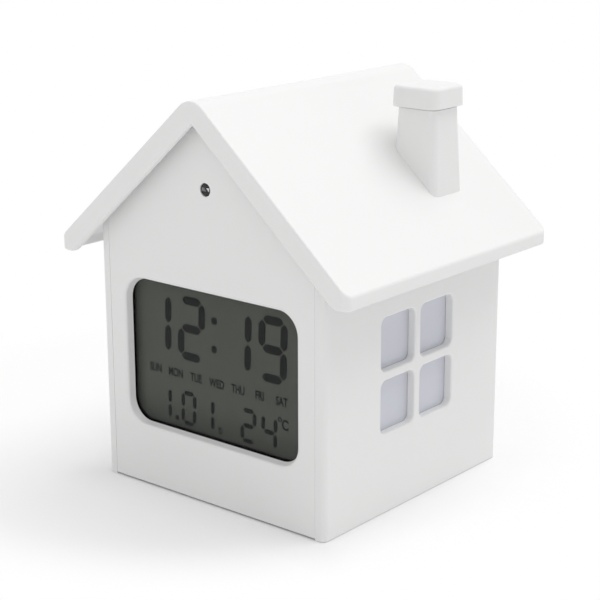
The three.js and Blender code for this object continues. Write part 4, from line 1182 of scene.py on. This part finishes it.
drop_profile = [(DROP_RADIUS, 0)]
for degrees in (0, 12, 24, 36, 48, 60, 72, 82):
    turn = math.radians(degrees)
    rise = DROP_EDGE + (DROP_RISE - DROP_EDGE) * math.sin(turn)
    drop_profile.append((DROP_RADIUS * math.cos(turn), rise))
drop = moved(turned("sensor_drop", drop_profile), (0, SENSOR_FACE - 0.1, SENSOR_HEIGHT), TO_FRONT)
dress(drop, clear_lens, "house", "lens")

# %% [markdown]
# ## Milky panes
# Behind each window lies one milky sheet that spreads the night light. It is a block with rounded
# corners and broken edges. A Mirror modifier could make the second one, but these are two pieces, so
# a loop over the two sides makes each of them.

# %% Two panes
SHEET_HALF = 17.15
SHEET_INNER, SHEET_OUTER = 36.3, 37.5
for side, word in ((1, "right"), (-1, "left")):
    near, far = sorted((side * SHEET_INNER, side * SHEET_OUTER))
    sheet = window_block("milky_sheet_" + word, near, far, SHEET_HALF, 1.2, 5)
    soften(sheet, 0.15, 3, lambda edge: rim(edge, X, near) or rim(edge, X, far))
    dress(sheet, milky_pane, "house", "diffuser", "window_diffuser_" + word)

# %% [markdown]
# ## Rear panel
# The back is the busiest moulding: a gabled plate with a battery bay, a rebate for the flap, holes
# for four keys, a slot for the slide switch, sound holes, and counterbores for the case screws.
# It could be drawn as one outline with holes and drawn out, but the bay and the posts lie at several
# depths, so everything is cut or joined by plain tools in loops, and all edges that a finger meets
# are broken at the end.

# %% Plate, bay and rebate
BAY_HALF, BAY_FLOOR = 25, 26.9
BAY_LOW, BAY_HIGH = 14.35, 47.85
TRAY_WALL = 1.6
SCOOP_TOP = 53.45
HINGE = (39.1, 12.25)
tray_low = (-BAY_HALF - TRAY_WALL, BAY_FLOOR - TRAY_WALL, BAY_LOW - TRAY_WALL)
tray_high = (BAY_HALF + TRAY_WALL, POST_ROOT, BAY_HIGH + TRAY_WALL)
rear = gabled_plate("rear_plate", PANEL_INNER, HALF)
fuse(
    rear,
    block("tray", tray_low, tray_high),
    block("frame", (-30.6, 36, 8.75), (30.6, POST_ROOT, SCOOP_TOP)),
)
carve(
    rear,
    block("hollow", (-BAY_HALF, BAY_FLOOR, BAY_LOW), (BAY_HALF, OUTSIDE, BAY_HIGH)),
    block("door_rebate", (-28.15, 38.1, 11.2), (28.15, OUTSIDE, 51)),
    pin("hinge_sockets", X, HINGE, -29.7, 29.7, 0.95, 20),
    rounded_block("finger_scoop", (-6, 38.7, 48.25), (6, OUTSIDE, SCOOP_TOP), Y, 2.3, 6),
)
for height in (25.6, 36.6):
    fuse(rear, block("cradle", (-17, 26.4, height - 0.4), (17, 29.3, height + 0.4)))

# %% Key holes, slot, sound holes and screw seats
KEY_PLACES = (-24, -12, 0, 12)
KEY_HEIGHT = 60
SCREW_PLACES = [(x, z) for x in (-CASE_SCREW_X, CASE_SCREW_X) for z in CASE_SCREW_HEIGHTS]
SOUNDER_HEIGHT = 80
SOUND_RING, SOUND_HOLE = 4, 0.9
THROUGH = (37, OUTSIDE)
fuse(rear, tube(Y, (0, SOUNDER_HEIGHT), (33.8, POST_ROOT, 12.7), (30, PANEL_INNER, 11.3), 48))
for x in (-18, 6):
    fuse(rear, tube(Y, (x, 56.4), (31.2, POST_ROOT, 2.1), (30, PANEL_INNER, PILOT)))
for x in KEY_PLACES:
    carve(rear, pin("key_hole", Y, (x, KEY_HEIGHT), *THROUGH, 3.5, 40))
carve(rear, rounded_block("slot", (20.7, THROUGH[0], 58.4), (27.3, THROUGH[1], 61.6), Y, 0.4, 4))
carve(rear, pin("sound_hole", Y, (0, SOUNDER_HEIGHT), *THROUGH, SOUND_HOLE, 24))
for index in range(6):
    turn = math.radians(60 * index)
    place = (SOUND_RING * math.cos(turn), SOUNDER_HEIGHT + SOUND_RING * math.sin(turn))
    carve(rear, pin("sound_hole", Y, place, *THROUGH, SOUND_HOLE, 24))
for place in SCREW_PLACES:
    carve(rear, pin("screw_hole", Y, place, *THROUGH, 1.5))
    carve(rear, pin("head_seat", Y, place, 38.6, OUTSIDE, 2.8, 40))
tidy(rear)


def under_roof(edge):
    """True for an edge that lies along the slopes, where the roof covers it."""
    spot = middle(edge)
    return spot.z + abs(spot.x) * ROOF_SLOPE > WALL_TOP - 2


soften(rear, 0.25, 3, lambda edge: rim(edge, Y, HALF) and not under_roof(edge))
dress(rear, white_case, "house", "case", "rear_panel")

# %% [markdown]
# ## Battery flap
# A flap that fills its rebate, with a round lower edge on two hinge pins, and three ribs under the
# finger scoop that give the thumb a grip. The ribs could be drawn out of the leaf itself; as blocks
# of their own they are rounded first and then joined to it.

# %% The flap
FLAP_LOW, FLAP_HIGH = 11.35, 50.85
RIB_PITCH = 1.8
RIB_TOP = 40.4
flap = block("battery_flap_leaf", (-28, 38.2, FLAP_LOW), (28, HALF, FLAP_HIGH))
soften(flap, 0.899, 8, lambda edge: runs_along(edge, X) and lies_on(edge, Z, FLAP_LOW))
soften(flap, 0.3, 4, lambda edge: rim(edge, Y, HALF) and middle(edge).z > 12.5)
fuse(flap, pin("hinge_pins", X, HINGE, -29.4, 29.4, 0.65, 24))
for index in range(3):
    low = FLAP_HIGH - 2.6 - (index + 1) * RIB_PITCH
    rib = block("rib", (-7, 39.5, low), (7, RIB_TOP, low + 0.7))
    soften(rib, 0.28, 4, lambda edge: runs_along(edge, X) and lies_on(edge, Y, RIB_TOP))
    soften(rib, 0.25, 3, lambda edge: runs_along(edge, Z) and middle(edge).y > 40)
    fuse(flap, rib)
tidy(flap)
dress(flap, white_case, "battery_flap", "case", "battery_door")

# %% [markdown]
# ## Keys, slide switch and case screws
# The four setting keys are turned: a tail that meets the switch, a flange that stops the key behind
# the panel, and a low dome in front. Cylinders could be joined for that, but one profile drawn out
# ring by ring gives all of it. The slider has three ridges. The screws sit flush in their
# counterbores, with a rounded head and a cross recess.

# %% Setting keys
key_profile = [(1.5, 0), (1.6, 0.1), (1.6, 1.4), (4.1, 1.4), (4.2, 1.5), (4.2, 2.4), (3.2, 2.4)]
key_profile += [(3.2 - 0.25 * (1 - math.cos(a)), 4.85 + 0.25 * math.sin(a)) for a in (0, 0.5, 1.0, 1.35)]
key_profile += [(2.6, 5.25), (2.0, 5.39), (1.3, 5.51), (0.6, 5.58), (0.2, 5.6)]
for index, x in enumerate(KEY_PLACES, start=1):
    key_piece = turned(f"set_key_{index}_top", key_profile, 48)
    moved(key_piece, (x, 35.3, KEY_HEIGHT), TO_BACK)
    dress(key_piece, white_key, f"set_key_{index}", "key", f"set_button_{index}")

# %% Slider
knob = block("light_slider_knob", (22.5, 35.5, 58.7), (25.5, 40.8, 61.3))
for x in (23.4, 24.6):
    carve(knob, block("valley", (x - 0.3, 40.4, 50), (x + 0.3, OUTSIDE, 70)))
tidy(knob)
soften(knob, 0.12, 3, lambda edge: middle(edge).y > 40.3 and edge.calc_face_angle(0) > 1)
dress(knob, black_switch, "light_slider", "switch", "light_switch_knob")


# %% Case screws
def cross_screw(name, head_profile):
    """A turned screw about Z with a cross cut into its head, which ends at z = 0."""
    screw = turned(name, head_profile, 32)
    for across, along_it in ((0.32, 1.35), (1.35, 0.32)):
        recess = block("recess", (-across, -along_it, -0.85), (across, along_it, 1))
        widen(recess, (0.6, 0.6, 1), (0, 0, -0.85), lambda corner: middle(corner).z < -0.5)
        carve(screw, recess)
    tidy(screw)
    return screw


case_screw = [(0.3, -7.8), (1.2, -6.8), (1.2, -1.3), (2.4, -1.3), (2.5, -1.2), (2.5, -0.45)]
case_screw += [(2.42, -0.22), (2.2, -0.08), (1.8, 0)]
for index, place in enumerate(SCREW_PLACES, start=1):
    screw = cross_screw(f"case_screw_{index}", case_screw)
    moved(screw, (place[0], HALF, place[1]), TO_BACK)
    dress(screw, bright_steel, "house", "steel", f"rear_screw_{index}")

# %% [markdown]
# ## Cells and contacts
# Three cells lie in the bay, head to tail. The sheet contacts at both ends carry cone springs where
# a cell turns its flat end to them. A coil could be a curve with a round bevel; here the Screw
# modifier draws a ring of wire along a screw line, because that is a plain mesh whose points are
# then moved inwards to make the cone.

# %% Cells
CELL_Y = 32.45
CELL_HEIGHTS = (20.1, 31.1, 42.1)
CELL_START = 20.15
BARE_END = 4.5
cell_profile = [(3.6, 0), (3.9, 0.12), (4.6, 0.12), (4.95, 0.2), (5.25, 0.6), (5.25, 43.0), (4.95, 43.5)]
cell_profile += [(4.4, 43.62), (4.1, 43.4), (2.2, 43.45), (1.9, 43.7), (1.9, 44.35), (1.75, 44.5)]
for index, height in enumerate(CELL_HEIGHTS):
    facing = 1 if index % 2 == 0 else -1
    cell = turned(f"cell_{index + 1}", cell_profile, 40)
    moved(cell, (-facing * CELL_START, CELL_Y, height), (0, facing * math.pi / 2, 0))
    dress(cell, cell_right if facing > 0 else cell_left, "house", "cell", f"battery_cell_{index + 1}")
    cell.data.materials.append(bright_steel)
    for face in cell.data.polygons:
        corners = [cell.data.vertices[number].co / MM for number in face.vertices]
        reach = max(math.hypot(corner.y - CELL_Y, corner.z - height) for corner in corners)
        face.material_index = 1 if reach < BARE_END else 0


# %% Wound wire
def coil(name, radius, tip, length, turns, wire):
    """A coil about Z that rises from z = 0 and narrows to its tip radius."""
    bpy.ops.object.select_all(action="DESELECT")
    bpy.ops.mesh.primitive_circle_add(
        vertices=10, radius=wire * MM, location=(radius * MM, 0, 0), rotation=(math.pi / 2, 0, 0)
    )
    piece = settle(bpy.context.object, name)
    bpy.ops.object.modifier_add(type="SCREW")
    screw = piece.modifiers[-1]
    screw.screw_offset = length * MM / turns
    screw.iterations = turns
    screw.steps = screw.render_steps = 28
    screw.use_merge_vertices = False
    bpy.ops.object.modifier_apply(modifier=screw.name)
    for corner in piece.data.vertices:
        away = Vector((corner.co.x, corner.co.y))
        share = min(max(corner.co.z / (length * MM), 0), 1)
        centre_line = radius + (tip - radius) * share
        away = away.normalized() * (away.length + (centre_line - radius) * MM)
        corner.co.x, corner.co.y = away
    pick(piece, "EDGE", lambda edge: len(edge.link_faces) == 1)
    bpy.ops.mesh.edge_face_add()
    bpy.ops.mesh.select_all(action="SELECT")
    bpy.ops.mesh.normals_make_consistent(inside=False)
    bpy.ops.object.mode_set(mode="OBJECT")
    return piece


print("wire tool: coil")


# %% Contacts
WIRE = 0.35
CONTACT_FACE, CONTACT_BACK = 24.4, 24.9
SPRING_ROOT = 24


def sheet_contact(name, side, low, high, springs):
    """A sheet at one end of the bay with cone springs at the heights given."""
    near, far = sorted((side * CONTACT_FACE, side * CONTACT_BACK))
    sheet = rounded_block(name, (near, CELL_Y - 4, low - 4), (far, CELL_Y + 4, high + 4), X, 0.8, 4)
    soften(sheet, 0.1, 3, lambda edge: rim(edge, X, side * CONTACT_FACE))
    parts = [sheet]
    for height in springs:
        spring = coil("spring", 3.4, 1.9, 3.4, 3, WIRE)
        parts.append(moved(spring, (side * SPRING_ROOT, CELL_Y, height), (0, -side * math.pi / 2, 0)))
    dress(join(name, parts), tinned_brass, "house", "steel", name.replace("_sheet", ""))


sheet_contact("contact_positive_sheet", 1, CELL_HEIGHTS[0], CELL_HEIGHTS[0], [])
sheet_contact("contact_link_left_sheet", -1, CELL_HEIGHTS[0], CELL_HEIGHTS[1], CELL_HEIGHTS[:1])
sheet_contact("contact_link_right_sheet", 1, CELL_HEIGHTS[1], CELL_HEIGHTS[2], CELL_HEIGHTS[1:2])
sheet_contact("contact_negative_sheet", -1, CELL_HEIGHTS[2], CELL_HEIGHTS[2], CELL_HEIGHTS[2:])

# %% The spring under the cap
SPRING_FOOT, SPRING_TIP = 80.42, 99.04
spring = coil("cap_spring", 3.2, 3.2, SPRING_TIP - SPRING_FOOT, 8, WIRE)
moved(spring, (*CHIMNEY, SPRING_FOOT))
dress(spring, bright_steel, "house", "steel", "chimney_spring")
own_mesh(spring)

# %% [markdown]
# ## Pieces that stay as packed
# Boards, chips, switches and screws inside the house could be modelled again too, but they don't
# show while it is closed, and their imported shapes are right, so they only take a finish.

# %% Finishes of the inner pieces
def numbered(name, count):
    return [f"{name}_{index}" for index in range(1, count + 1)]


INNER_FINISHES = {
    green_board: [
        "main_board", "key_board", "snooze_board", "night_light_board_right", "night_light_board_left",
    ],
    black_resin: ["controller_chip", "temperature_probe"],
    black_switch: [*numbered("key_switch", 4), "snooze_switch", "light_switch_body", "sounder"],
    bright_steel: [
        "clock_crystal", "retaining_clip", *numbered("board_screw", 4), *numbered("roof_screw", 4),
        *numbered("key_board_screw", 2),
    ],
    lamp_phosphor: ["night_light_led_right", "night_light_led_left"],
    grey_holder: ["lcd_holder"],
    light_guide: ["lcd_backlight"],
    pink_rubber: ["zebra_connector"],
}
for finish, names in INNER_FINISHES.items():
    for name in names:
        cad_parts[name].material_slots[0].material = finish
print("inner pieces:", sum(len(names) for names in INNER_FINISHES.values()))

# %% [markdown]
# ## Size
# The size of the dressed clock is written down. The dressed clock has to fill the same box as the
# imported model.

# %% Write the size
low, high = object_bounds()
print("size:", [round((b - a) / MM, 2) for a, b in zip(low, high)], "mm")
